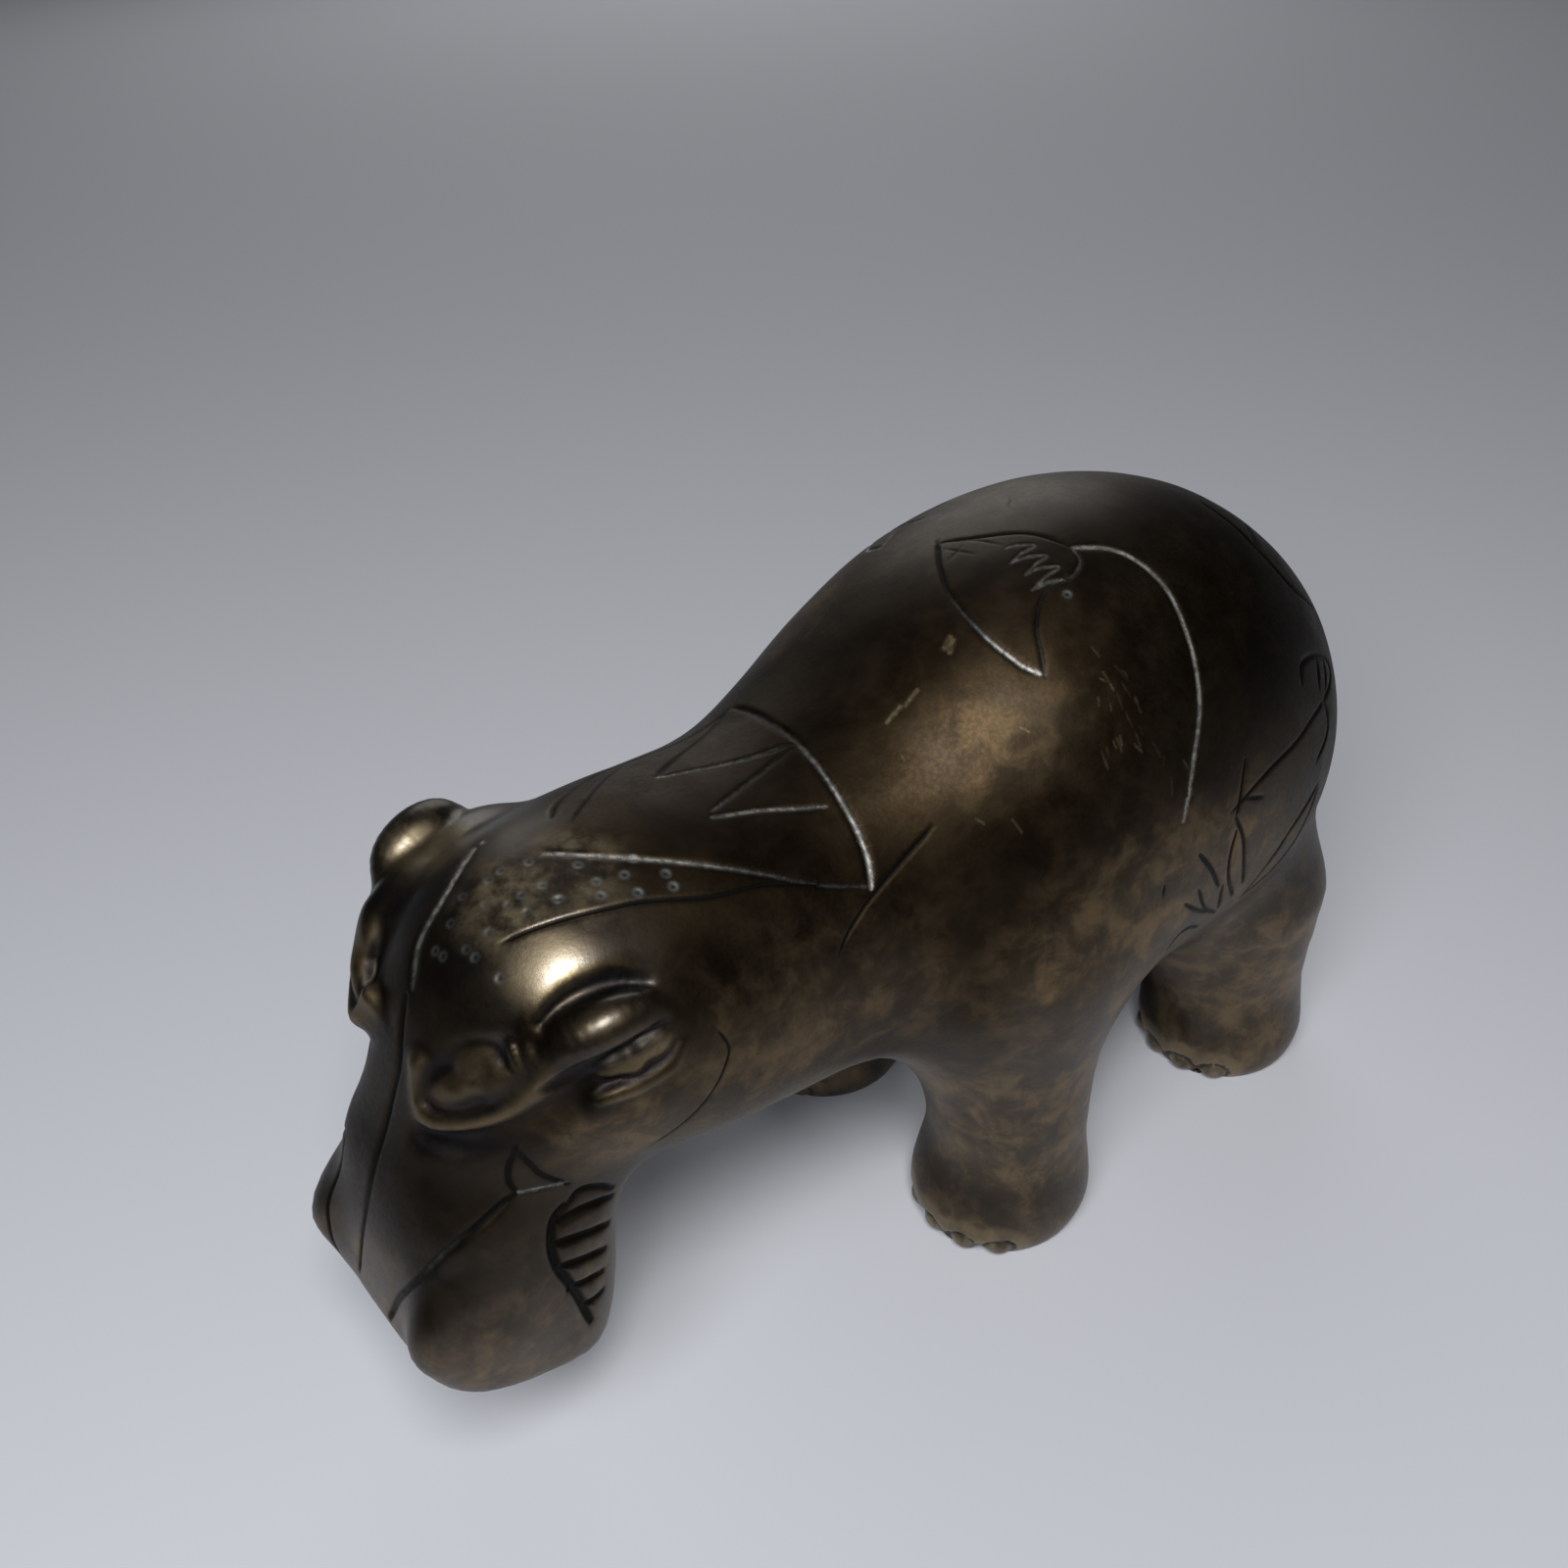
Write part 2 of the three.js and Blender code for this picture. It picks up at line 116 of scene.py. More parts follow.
EAR_RIM_THICK = (0.3, 0.7, 0.8, 0.75, 0.4)

# Eye: a pocket under the brow, closed below by a heavy lid that runs back
# to the ear, with low lumps in it and two folds at its back corner
LID = [
    (-82.2, 5.2, 80.2), (-83.0, 7.6, 75.0), (-80.4, 12.2, 75.9), (-77.0, 16.2, 78.8), (-73.0, 18.6, 83.0),
    (-69.4, 19.6, 85.6),
]
LID_THICK = (0.9, 1.5, 1.7, 1.7, 1.3, 0.5)
UNDER_LID = [
    (-84.8, 7.5, 71.0), (-81.6, 13.8, 72.0), (-77.2, 18.6, 74.4), (-73.0, 21.6, 77.4), (-69.0, 23.6, 80.8),
]
UNDER_LID_THICK = (0.6, 1.5, 2.0, 2.0, 1.4)
EYE_ALONG = (-0.587, -0.64, -0.497)
EYE_OUT = (-0.8, 0.5, 0.3)
SOCKET = {"at": (-79.0, 13.5, 81.8), "radii": (7.2, 1.5, 3.1)}
EYE_LUMPS = [
    ((-77.4, 12.0, 82.6), (3.2, 1.5, 2.1)),
    ((-79.0, 12.0, 79.8), (3.4, 1.7, 1.8)),
    ((-76.1, 14.9, 81.2), (3.2, 1.6, 1.8)),
    ((-80.7, 9.6, 78.6), (2.6, 1.3, 1.8)),
]
EYE_FOLDS = [((-74.1, 16.1, 84.4), (0.9, 1.0, 2.4)), ((-72.6, 17.3, 84.5), (0.9, 1.0, 2.3))]

# The right eye and ear sit a little higher and further out than the left;
# their shift grows from the middle plane over SHIFT_WIDTH
RIGHT_EYE_SHIFT = np.array([0.0, 3.0, 3.0])
RIGHT_EAR_SHIFT = np.array([-1.5, 3.0, 4.6])
SHIFT_WIDTH = 10

# The part of the head that eyes and ears reach, and how far out from its skin
FACE = {"x": -71, "half": 24, "above": 62, "reach": 12}

# The skin: first grid, then the longest edges wanted on plain skin, on the
# brow, on the small relief and beside a cut line, in mm
GRID = 2.0
BOX_LOW = np.array([-104.0, -46.0, 0.0])
BOX_HIGH = np.array([100.0, 46.0, 124.0])
PLAIN_EDGE = 2.4
BROW_EDGE = 1.5
RELIEF_EDGE = 0.8
CUT_EDGE = 0.38
REFINING_PASSES = 6
NOISE_CELLS = 32

# The corners of a unit cube
CORNERS = [np.array([c & 1, c >> 1 & 1, c >> 2 & 1]) for c in range(8)]


def size_of(v):
    return np.linalg.norm(v, axis=-1)


def unit(v):
    return v / size_of(v)[..., None]


def axes(along, out):
    """A frame with its first axis along, its second as near to out as it can be."""
    a = unit(np.array(along))
    n = unit(out - a * np.dot(a, out))
    return np.stack([a, n, np.cross(a, n)])


def nodding(angle):
    s, c = math.sin(angle), math.cos(angle)
    return np.array([[c, 0, s], [0, 1, 0], [-s, 0, c]])


def smooth_step(low, high, x):
    t = np.clip((x - low) / (high - low), 0, 1)
    return t * t * (3 - 2 * t)


def meld(a, b, soft):
    """Both bodies in one, with a fillet about soft mm wide where they meet."""
    h = np.maximum(soft - np.abs(a - b), 0) / soft
    return np.minimum(a, b) - h * h * soft * 0.25


def carve(a, b, soft):
    """Body a without body b, with an edge about soft mm wide."""
    return -meld(-a, b, soft)


def ellipsoid(p, at, radii, turned=None):
    """Distance to an ellipsoid, good near its surface."""
    q = p - at
    if turned is not None:
        q = q @ turned.T
    radii = np.asarray(radii, float)
    near = np.sqrt(((q / radii) ** 2).sum(-1))
    steep = np.sqrt(((q / radii**2) ** 2).sum(-1))
    return near * (near - 1) / np.maximum(steep, 1e-6)


def mass(p, form):
    return ellipsoid(p, form["at"], form["radii"], nodding(form["nod"]))


def rod(p, start, end, thick_start, thick_end, widen=1.0):
    d = np.subtract(end, start)
    q = p - start
    t = np.clip(q @ d / (d @ d), 0, 1)
    r = (q - t[..., None] * d) * np.array([1, 1 / widen, 1])
    return np.sqrt((r**2).sum(-1)) - (thick_start + (thick_end - thick_start) * t)


def through(points, steps):
    """Points on a smooth curve through the given ones, steps to a stretch."""
    points = np.asarray(points, float)
    ends = np.vstack([2 * points[0] - points[1], points, 2 * points[-1] - points[-2]])
    t = np.linspace(0, 1, steps, endpoint=False)[:, None]
    rows = []
    for k in range(len(points) - 1):
        a, b, c, d = ends[k : k + 4]
        bend = (2 * a - 5 * b + 4 * c - d) * t**2 + (3 * b - a - 3 * c + d) * t**3
        rows.append(0.5 * (2 * b + (c - a) * t + bend))
    return np.vstack(rows + [points[-1:]])


def bent_rod(p, points, thick, steps=4):
    """Distance to a rod that bends through the points, with a radius at each."""
    route = through(np.column_stack([points, thick]), steps)
    d = None
    for a, b in zip(route[:-1], route[1:]):
        e = rod(p, a[:3], b[:3], a[3], b[3])
        d = e if d is None else np.minimum(d, e)
    return d


def soft_block(p, form):
    """Distance to the muzzle's block, whose corners grow squarer towards the lips."""
    length, width, thick = form["half"]
    x = p[..., 0] - form["at"][0]
    z = p[..., 2] - form["at"][2]
    s = -x * math.cos(form["nod"]) - z * math.sin(form["nod"])
    n = -x * math.sin(form["nod"]) + z * math.cos(form["nod"])
    w = width * np.maximum(1 + MUZZLE_WIDENING * s / length, 0.3)
    h = thick * np.maximum(1 - MUZZLE_THINNING * s / length, 0.3)
    q = form["corner"] + MUZZLE_SQUARER * np.clip(s / length, 0, 1)
    total = np.abs(s / length) ** q + np.abs(p[..., 1] / w) ** q + np.abs(n / h) ** q
    return ((total + 1e-9) ** (1 / q) - 1) * thick * 0.95


# Parts of the animal, for points on the side where y is positive


def trunk(p):
    """Barrel, rump, shoulders and neck."""
    d = mass(p, BARREL)
    d = meld(d, mass(p, RUMP), 18)
    d = meld(d, mass(p, SHOULDERS), 22)
    return meld(d, rod(p, NECK["from"], NECK["to"], *NECK["thick"], NECK["widen"]), 16)


def head(p):
    """Skull and muzzle, which is cut off at the lips."""
    x = p[..., 0] - MUZZLE["at"][0]
    z = p[..., 2] - MUZZLE["at"][2]
    below = LIPS["reach"] + x * math.cos(LIPS["nod"]) + z * math.sin(LIPS["nod"])
    return meld(mass(p, SKULL), carve(soft_block(p, MUZZLE), below, LIPS["soft"]), 9)


def toe_places(form):
    """Centre and axes of each toe of a foot."""
    for i in range(TOES):
        a = form["turned_out"] + (i - (TOES - 1) / 2) * TOE_STEP
        x, y = form["foot"]
        reach = form["sole"] - TOE_INSET
        at = (x - form["step"] - reach * math.cos(a), y + reach * math.sin(a), TOE_HEIGHT)
        turned = [[-math.cos(a), math.sin(a), 0], [math.sin(a), math.cos(a), 0], [0, 0, 1]]
        yield np.array(at), np.array(turned)


def all_toes():
    """The centres of all toes of both sides."""
    left = [at for form in (FORELEG, HINDLEG) for at, _ in toe_places(form)]
    return [at * (1, side, 1) for at in left for side in (-1, 1)]


def leg(p, form):
    """One leg with its foot, and each toe in a narrow groove of its own."""
    x, y = form["foot"]
    d = rod(p, form["hip"], (x, y, ANKLE_HEIGHT), form["thigh"], form["ankle"])
    swell = (form["sole"], form["sole"] * 0.93, SOLE_SWELL_HEIGHT)
    d = meld(d, ellipsoid(p, (x - form["step"], y, 5), swell), 9)
    low = p[..., 2] < FOOT_TOP
    q = p[low]
    toes = np.full(len(q), FAR)
    moat = np.full(len(q), FAR)
    for at, turned in toe_places(form):
        toes = np.minimum(toes, ellipsoid(q, at, TOE_RADII, turned))
        moat = np.minimum(moat, ellipsoid(q, at, np.add(TOE_RADII, TOE_GROOVE), turned))
    d[low] = meld(carve(d[low], moat, 0.5), toes, 0.4)
    return d


def ear(p, raised, d, right):
    """The ear at p, with its roll at raised; right is 1 on the right side, without crease and groove."""
    turned = axes(EAR_ALONG, EAR_OUT)
    for at, radii in EAR_ROOT:
        d = meld(d, ellipsoid(raised, at, radii) + 6 * (1 - right), 4)
    d = meld(d, bent_rod(raised, EAR_ROLL, EAR_ROLL_THICK), 1.4)
    d = carve(d, bent_rod(p, EAR_CREASE, EAR_CREASE_THICK) + 4 * right, 1.8)
    d = carve(d, ellipsoid(p, EAR_HOLLOW["at"], EAR_HOLLOW["radii"], turned), 1.6)
    d = carve(d, bent_rod(p, EAR_GROOVE, EAR_GROOVE_THICK) + 4 * right, 0.8)
    for at, radii in EAR_CRUMBS:
        d = meld(d, ellipsoid(p, at, radii, turned), 1.3)
    return meld(d, bent_rod(p, EAR_RIM, EAR_RIM_THICK), 1.2)


def eye(p, d, right):
    """The eye; right is 1 on the right side, where it has no folds, and 0 on the left."""
    turned = axes(EYE_ALONG, EYE_OUT)
    d = meld(d, bent_rod(p, LID, LID_THICK), 3)
    d = carve(d, bent_rod(p, UNDER_LID, UNDER_LID_THICK), 2.4)
    d = carve(d, ellipsoid(p, SOCKET["at"], SOCKET["radii"], turned), 3.4)
    for at, radii in EYE_LUMPS:
        d = meld(d, ellipsoid(p, at, radii, turned), 1.8)
    for at, radii in EYE_FOLDS:
        d = meld(d, ellipsoid(p, at, radii, turned) + 5 * right, 0.9)
    return d


def skin(p):
    """Signed distance to the whole animal, before its soles are cut at z = 0."""
    q = p.copy()
    q[..., 1] = np.abs(q[..., 1])
    d = meld(trunk(q), head(q), 12)
    d = meld(d, mass(q, JAW), 7)
    d = meld(d, leg(q, FORELEG), 14)
    d = meld(d, leg(q, HINDLEG), 10)
    near = (np.abs(q[..., 0] - FACE["x"]) < FACE["half"]) & (q[..., 2] > FACE["above"])
    near &= d < FACE["reach"]
    side = smooth_step(0, SHIFT_WIDTH, p[..., 1][near])
    fine = eye(q[near] - side[:, None] * RIGHT_EYE_SHIFT, d[near], side)
    d[near] = ear(q[near], q[near] - side[:, None] * RIGHT_EAR_SHIFT, fine, side)
    return meld(d, mass(q, NOSTRIL), 7)


def slope(p, h=0.03):
    """Value and gradient of the skin's distance, from four points around p."""
    value = 0
    rise = np.zeros_like(p)
    for k in ((1, 1, 1), (1, -1, -1), (-1, 1, -1), (-1, -1, 1)):
        k = np.array(k, float)
        f = skin(p + h * k)
        value = value + f / 4
        rise += f[:, None] * k / (4 * h)
    return value, rise


def settle(p, flat, rounds=3):
    """Moves points onto the skin; those marked flat keep their height."""
    for _ in range(rounds):
        value, rise = slope(p)
        rise[flat, 2] = 0
        step = np.clip(value, -1, 1) / np.maximum((rise**2).sum(1), 0.25)
        p = p - rise * step[:, None]
    return p


# The skin's mesh


def walk():
    """Walks a grid and returns points, triangles and which points are sole or its edge."""
    start = BOX_LOW - (0, 0, GRID / 2)
    count = np.ceil((BOX_HIGH - start) / GRID).astype(int) + 1
    lines = [start[k] + GRID * np.arange(count[k]) for k in range(3)]
    value = skin(np.stack(np.meshgrid(*lines, indexing="ij"), -1))
    value[:, :, 0] = 1
    inside = value < 0
    cell_range = tuple(slice(0, n - 1) for n in count)
    filled = sum(inside[x:, y:, z:][cell_range] for x, y, z in CORNERS)
    cells = np.argwhere((filled > 0) & (filled < 8))
    total = np.zeros((len(cells), 3))
    crossings = np.zeros(len(cells))
    sides = np.zeros(len(cells), int)
    for a in CORNERS:
        for b in CORNERS:
            if (b - a).sum() == 1 and (b >= a).all():
                va = value[tuple((cells + a).T)]
                vb = value[tuple((cells + b).T)]
                cut = (va < 0) != (vb < 0)
                t = np.where(cut, va / np.where(cut, va - vb, 1), 0)
                t[(cells[:, 2] + a[2] == 0) & (b[2] > a[2])] = 0.5
                total[cut] += (cells + a + t[:, None] * (b - a))[cut]
                crossings += cut
                sides += cut & (a[2] == b[2])
    points = start + total / crossings[:, None] * GRID
    ground = cells[:, 2] == 0
    points[ground, 2] = 0
    index = np.full(count, -1)
    index[tuple(cells.T)] = np.arange(len(cells))
    quads = []
    for axis in range(3):
        u, v = [(1, 2), (2, 0), (0, 1)][axis]
        step = np.eye(3, dtype=int)
        here = np.argwhere(inside[tuple(slice(0, n - (k == axis)) for k, n in enumerate(count))]
                           != inside[tuple(slice(int(k == axis), n) for k, n in enumerate(count))])
        here = here[(here[:, u] > 0) & (here[:, v] > 0)]
        ring = [index[tuple((here - s).T)] for s in (step[u] + step[v], step[v], 0 * step[u], step[u])]
        ring = np.stack(ring, 1)
        out = ~inside[tuple(here.T)]
        ring[out] = ring[out][:, ::-1]
        quads.append(ring)
    quads = np.vstack(quads)
    diagonal = [size_of(points[quads[:, k]] - points[quads[:, k + 2]]) for k in (0, 1)]
    turned = np.where((diagonal[0] <= diagonal[1])[:, None], quads, np.roll(quads, -1, 1))
    triangles = np.vstack([turned[:, [0, 1, 2]], turned[:, [0, 2, 3]]])
    return points, triangles, ground, ground & (sides > 0)


def edge_list(triangles):
    """Each edge once, and for each triangle the numbers of its three edges."""
    pairs = np.sort(triangles[:, [[0, 1], [1, 2], [2, 0]]].reshape(-1, 2), axis=1)
    code = pairs[:, 0] * (triangles.max() + 1) + pairs[:, 1]
    _, first, number = np.unique(code, return_index=True, return_inverse=True)
    return pairs[first], number.reshape(-1, 3)


def main_piece(points, triangles):
    """Marks the points of the largest connected piece, to drop stray crumbs of the walk."""
    edges, _ = edge_list(triangles)
    label = np.arange(len(points))
    while True:
        low = label[edges].min(1)
        new = label.copy()
        np.minimum.at(new, edges.ravel(), np.repeat(low, 2))
        new = new[new]
        if (new == label).all():
            return label == np.bincount(label).argmax()
        label = new


def refine(points, triangles, ground, rim, wanted):
    """Halves each edge longer than wanted, and the longest edge of its triangles, without gaps."""
    edges, of_face = edge_list(triangles)
    middle = points[edges].mean(1)
    length = size_of(points[edges[:, 0]] - points[edges[:, 1]])
    split = length > wanted(middle)
    face_length = length[of_face]
    longest = of_face[np.arange(len(of_face)), face_length.argmax(1)]
    for _ in range(8):
        need = split[of_face].any(1)
        if split[longest[need]].all():
            break
        split[longest[need]] = True
    new = np.full(len(edges), -1)
    new[split] = len(points) + np.arange(split.sum())
    both_ground = ground[edges].all(1)
    side_face = ~ground[triangles].all(1)
    touches_side = np.bincount(of_face.ravel(), weights=np.repeat(side_face, 3), minlength=len(edges)) > 0
    new_ground = both_ground[split]
    new_rim = (both_ground & touches_side)[split]
    points = np.vstack([points, middle[split]])
    ground = np.concatenate([ground, new_ground])
    rim = np.concatenate([rim, new_rim])
    marks = split[of_face]
    count = marks.sum(1)
    made = [triangles[count == 0]]
    for turn in range(3):
        t = np.roll(triangles, -turn, 1)
        m = np.roll(marks, -turn, 1)
        e = np.roll(new[of_face], -turn, 1)
        one = (count == 1) & m[:, 0]
        a, b, c = t[one].T
        ab = e[one, 0]
        made += [np.stack([a, ab, c], 1), np.stack([ab, b, c], 1)]
        two = (count == 2) & m[:, 0] & m[:, 1]
        a, b, c = t[two].T
        ab, bc = e[two, 0], e[two, 1]
        made.append(np.stack([ab, b, bc], 1))
        one_way = size_of(points[a] - points[bc])
        other_way = size_of(points[ab] - points[c])
        across = one_way < other_way
        for pick, quad in ((across, (a, ab, bc, c)), (~across, (ab, bc, c, a))):
            q = np.stack(quad, 1)[pick]
            made += [q[:, [0, 1, 2]], q[:, [0, 2, 3]]]
    three = count == 3
    a, b, c = triangles[three].T
    ab, bc, ca = new[of_face[three]].T
    for face in ((a, ab, ca), (ab, b, bc), (ca, bc, c), (ab, bc, ca)):
        made.append(np.stack(face, 1))
    return points, np.vstack(made), ground, rim


def neighbour_mean(points, triangles):
    """For each point, the middle of the points that an edge joins it to."""
    edges, _ = edge_list(triangles)
    total = np.zeros_like(points)
    for a, b in (edges.T, edges.T[::-1]):
        for k in range(3):
            total[:, k] += np.bincount(a, weights=points[b, k], minlength=len(points))
    number = np.bincount(edges.ravel(), minlength=len(points))
    return total / number[:, None]


def even_out(points, triangles, free, share, rounds):
    """Slides the free points along the skin towards the middle of their neighbours."""
    for _ in range(rounds):
        move = (neighbour_mean(points, triangles) - points)[free] * share
        _, rise = slope(points[free])
        n = unit(rise)
        points[free] += move - n * (move * n).sum(1, keepdims=True)


# Lines cut into the skin. On the body a point is its x and its girth, in
# degrees from the top and positive to the left; on the muzzle it is its z and
# its round, in degrees from straight ahead and positive to the left.

BODY_AXIS_Z = 70.0
HEAD_AXIS_X = -68.0
RAY_STEPS = 90
HALVINGS = 9
LINE_STEP = 0.12
LINE_FADE = 2.4

# Coarse cells that tell quickly whether a line is near
CELL = 4
CELLS = (60, 40, 44)
CELLS_CORNER = (-120, -80, -20)


def on_skin(origin, direction, reach):
    """The outermost skin point on each ray, which runs from the axis outwards."""
    far = np.linspace(0, reach, RAY_STEPS)
    inside = skin(origin[:, None] + direction[:, None] * far[None, :, None]) < 0
    last = len(far) - 1 - inside[:, ::-1].argmax(1)
    low = far[last]
    high = far[np.minimum(last + 1, len(far) - 1)]
    for _ in range(HALVINGS):
        middle = (low + high) / 2
        within = skin(origin + direction * middle[:, None]) < 0
        low = np.where(within, middle, low)
        high = np.where(within, high, middle)
    return origin + direction * low[:, None]


def on_body(x, girth):
    """Skin points at the given places of the body."""
    g = np.radians(girth)
    origin = np.stack([x, 0 * x, 0 * x + BODY_AXIS_Z], 1)
    return on_skin(origin, np.stack([0 * x, -np.sin(g), np.cos(g)], 1), 75)


def on_muzzle(z, turn):
    """Skin points at the given places of the muzzle."""
    g = np.radians(turn)
    origin = np.stack([0 * z + HEAD_AXIS_X, 0 * z, z], 1)
    return on_skin(origin, np.stack([-np.cos(g), -np.sin(g), 0 * z], 1), 60)


def evenly(route, step):
    """Points at even steps along a route."""
    run = np.concatenate([[0], np.cumsum(size_of(np.diff(route, axis=0)))])
    at = np.linspace(0, run[-1], max(int(run[-1] / step), 2))
    return np.stack([np.interp(at, run, route[:, k]) for k in range(3)], 1)


class Lines:
    """All cut lines, as close points with the width, depth, paleness and gilding of the cut there."""

    def __init__(self):
        self.rows = []

    def cut(self, place, points, width=0.42, depth=0.3, pale=0.0, gold=0.0, ends=(0.4, 0.4)):
        """Adds one line; ends says how much of its depth is left at either end."""
        route = through(points, 14)
        route = evenly(place(route[:, 0], route[:, 1]), LINE_STEP)
        n = len(route)
        run = np.arange(n) * LINE_STEP
        near_ends = zip((run, run[::-1]), ends)
        fade = np.minimum(*(smooth_step(-0.2, LINE_FADE, r) * (1 - end) + end for r, end in near_ends))
        wide = width * (0.8 + 0.2 * fade)
        pale = np.interp(np.linspace(0, 1, n), np.linspace(0, 1, np.size(pale)), np.ravel(pale))
        self.rows.append(np.column_stack([route, wide, depth * fade, pale, np.full(n, gold)]))

    def build(self):
        self.rows = np.vstack(self.rows)
        self.tree = KDTree(len(self.rows))
        for k, row in enumerate(self.rows):
            self.tree.insert(row[:3], k)
        self.tree.balance()
        cells = np.unique(self.cell(self.rows[:, :3]), axis=0)
        self.near_line = np.zeros(CELLS, bool)
        for shift in np.ndindex(3, 3, 3):
            self.near_line[tuple((cells + shift - 1).T)] = True

    def cell(self, p):
        return np.floor((p - CELLS_CORNER) / CELL).astype(int)

    def nearest(self, p, reach):
        """Distance to the nearest line point, and its number, or reach and -1."""
        away = np.full(len(p), float(reach))
        number = np.full(len(p), -1)
        for i in np.nonzero(self.near_line[tuple(self.cell(p).T)])[0]:
            _, k, d = self.tree.find(p[i])
            if d < reach:
                away[i] = d
                number[i] = k
        return away, number


# The ornament. The cutters body and muzzle each cut one line through points
# that are given in that frame; the mouth is drawn on both sides.

MOUTH = [(56.5, 78), (55.2, 71.5), (52, 68.5), (48, 69), (44.3, 72), (39.8, 75), (33.3, 78)]


def head_ornament(body, muzzle):
    """Big pointed leaves on head and neck, drawn from the brow to a line across the shoulders."""
    # line across the shoulders, and the leaf edges that meet it
    arc = [(-16.8, -28), (-17.5, -13), (-18.3, 9), (-19.4, 28), (-20.5, 45), (-22.1, 54)]
    body(arc, width=0.5, depth=0.36, pale=(0, 0.1, 0.4, 0.8, 1))
    near_inner = [(-58.4, 1), (-53, 11), (-45, 23), (-36.5, 35), (-29.1, 46), (-22.6, 53)]
    body(near_inner, pale=(0.8, 0.7, 0.4, 0.1, 0.1), width=0.4, depth=0.3)
    near_outer = [(-69.8, 17), (-65.4, 19.7), (-61.6, 22), (-56.8, 25), (-52, 28), (-44, 35), (-36.1, 39)]
    body(near_outer + [(-29, 46)], width=0.36, depth=0.2)
    far_outer = [(-17.4, -30), (-28, -30), (-41.2, -28), (-50, -19), (-53.4, -11.5)]
    body(far_outer, width=0.4, depth=0.24)
    body([(-38, -26), (-43, -19), (-49.5, -9.5), (-52.5, -5)], width=0.32, depth=0.18)
    # pointed zigzag between the leaves
    body([(-17.5, -30), (-22, -26), (-29.8, -18), (-37.4, -9)], width=0.4)
    body([(-37.4, -8), (-29.7, -3), (-18.6, 5)], width=0.36, depth=0.24, pale=(0.5, 0.3, 0))
    body([(-19.6, 6), (-25.9, 8), (-35.8, 13)], width=0.34, depth=0.22, pale=(0, 0.2))
    body([(-36.7, 15), (-29.4, 20), (-21.7, 28)], width=0.36, depth=0.24, pale=(0.4, 0.6, 0.2))
    # thin line behind the shoulder line
    body([(-30.3, 66), (-27.0, 61), (-22.0, 56), (-10.7, 47)], width=0.34, depth=0.24)
    # two lines from the crown down over the brow
    crown = [(-63.6, -18), (-70.9, -10), (-76, -7), (-79.2, 0)]
    body(crown, width=0.62, pale=(0.8, 1, 0.8, 0.6, 0.2))
    muzzle([(86.7, -2), (79, 4), (72.8, 2), (64.2, 1), (56.6, -1), (46.9, -7), (38, -12)],
           width=0.44, depth=0.36)


def muzzle_ornament(body, muzzle):
    """Lines of the muzzle, the mouth corner with its teeth, and the cheek."""
    muzzle([(60.1, -24), (50.1, -26), (43, -23), (36, -23)], width=0.36)
    muzzle([(62.8, 59), (60.9, 49), (58.2, 39), (53.9, 30), (45.6, 17), (36.7, 7)],
           width=0.6, depth=0.5, pale=(0, 0, 0.1, 0, 0.05, 0))
    muzzle([(70.9, 62), (67.6, 58), (65, 57), (62.8, 59)], width=0.5, depth=0.42)
    muzzle([(70.3, 62), (67, 66), (64.1, 70), (60.1, 80)], width=0.46, depth=0.38)
    muzzle([(62.6, 60), (61.8, 68), (60.7, 79)], width=0.36, depth=0.26, pale=0.5)
    muzzle([(53.6, 101), (56.2, 93), (57.5, 85), (56.5, 78)], width=0.6, depth=0.6)
    muzzle(MOUTH, width=0.78, depth=0.9, ends=(0.8, 0.5))
    tooth = {"width": 0.68, "depth": 0.8, "ends": (0.9, 0.3)}
    muzzle([(54.6, 73), (53.8, 85), (51.6, 101)], **tooth)
    muzzle([(51.6, 69), (50, 80), (46.9, 97)], **tooth)
    muzzle([(47.6, 69), (45.9, 78), (43.4, 92)], **tooth)
    muzzle([(42.8, 72), (41.2, 80), (40.2, 88)], **tooth)
    muzzle([(37.8, 76), (36.8, 80), (36.8, 86)], **tooth)
    cheek = [(-51.2, 65), (-49.9, 73), (-50.8, 79), (-53, 87), (-56.4, 97), (-60.5, 108)]
    body(cheek, width=0.3, depth=0.16)


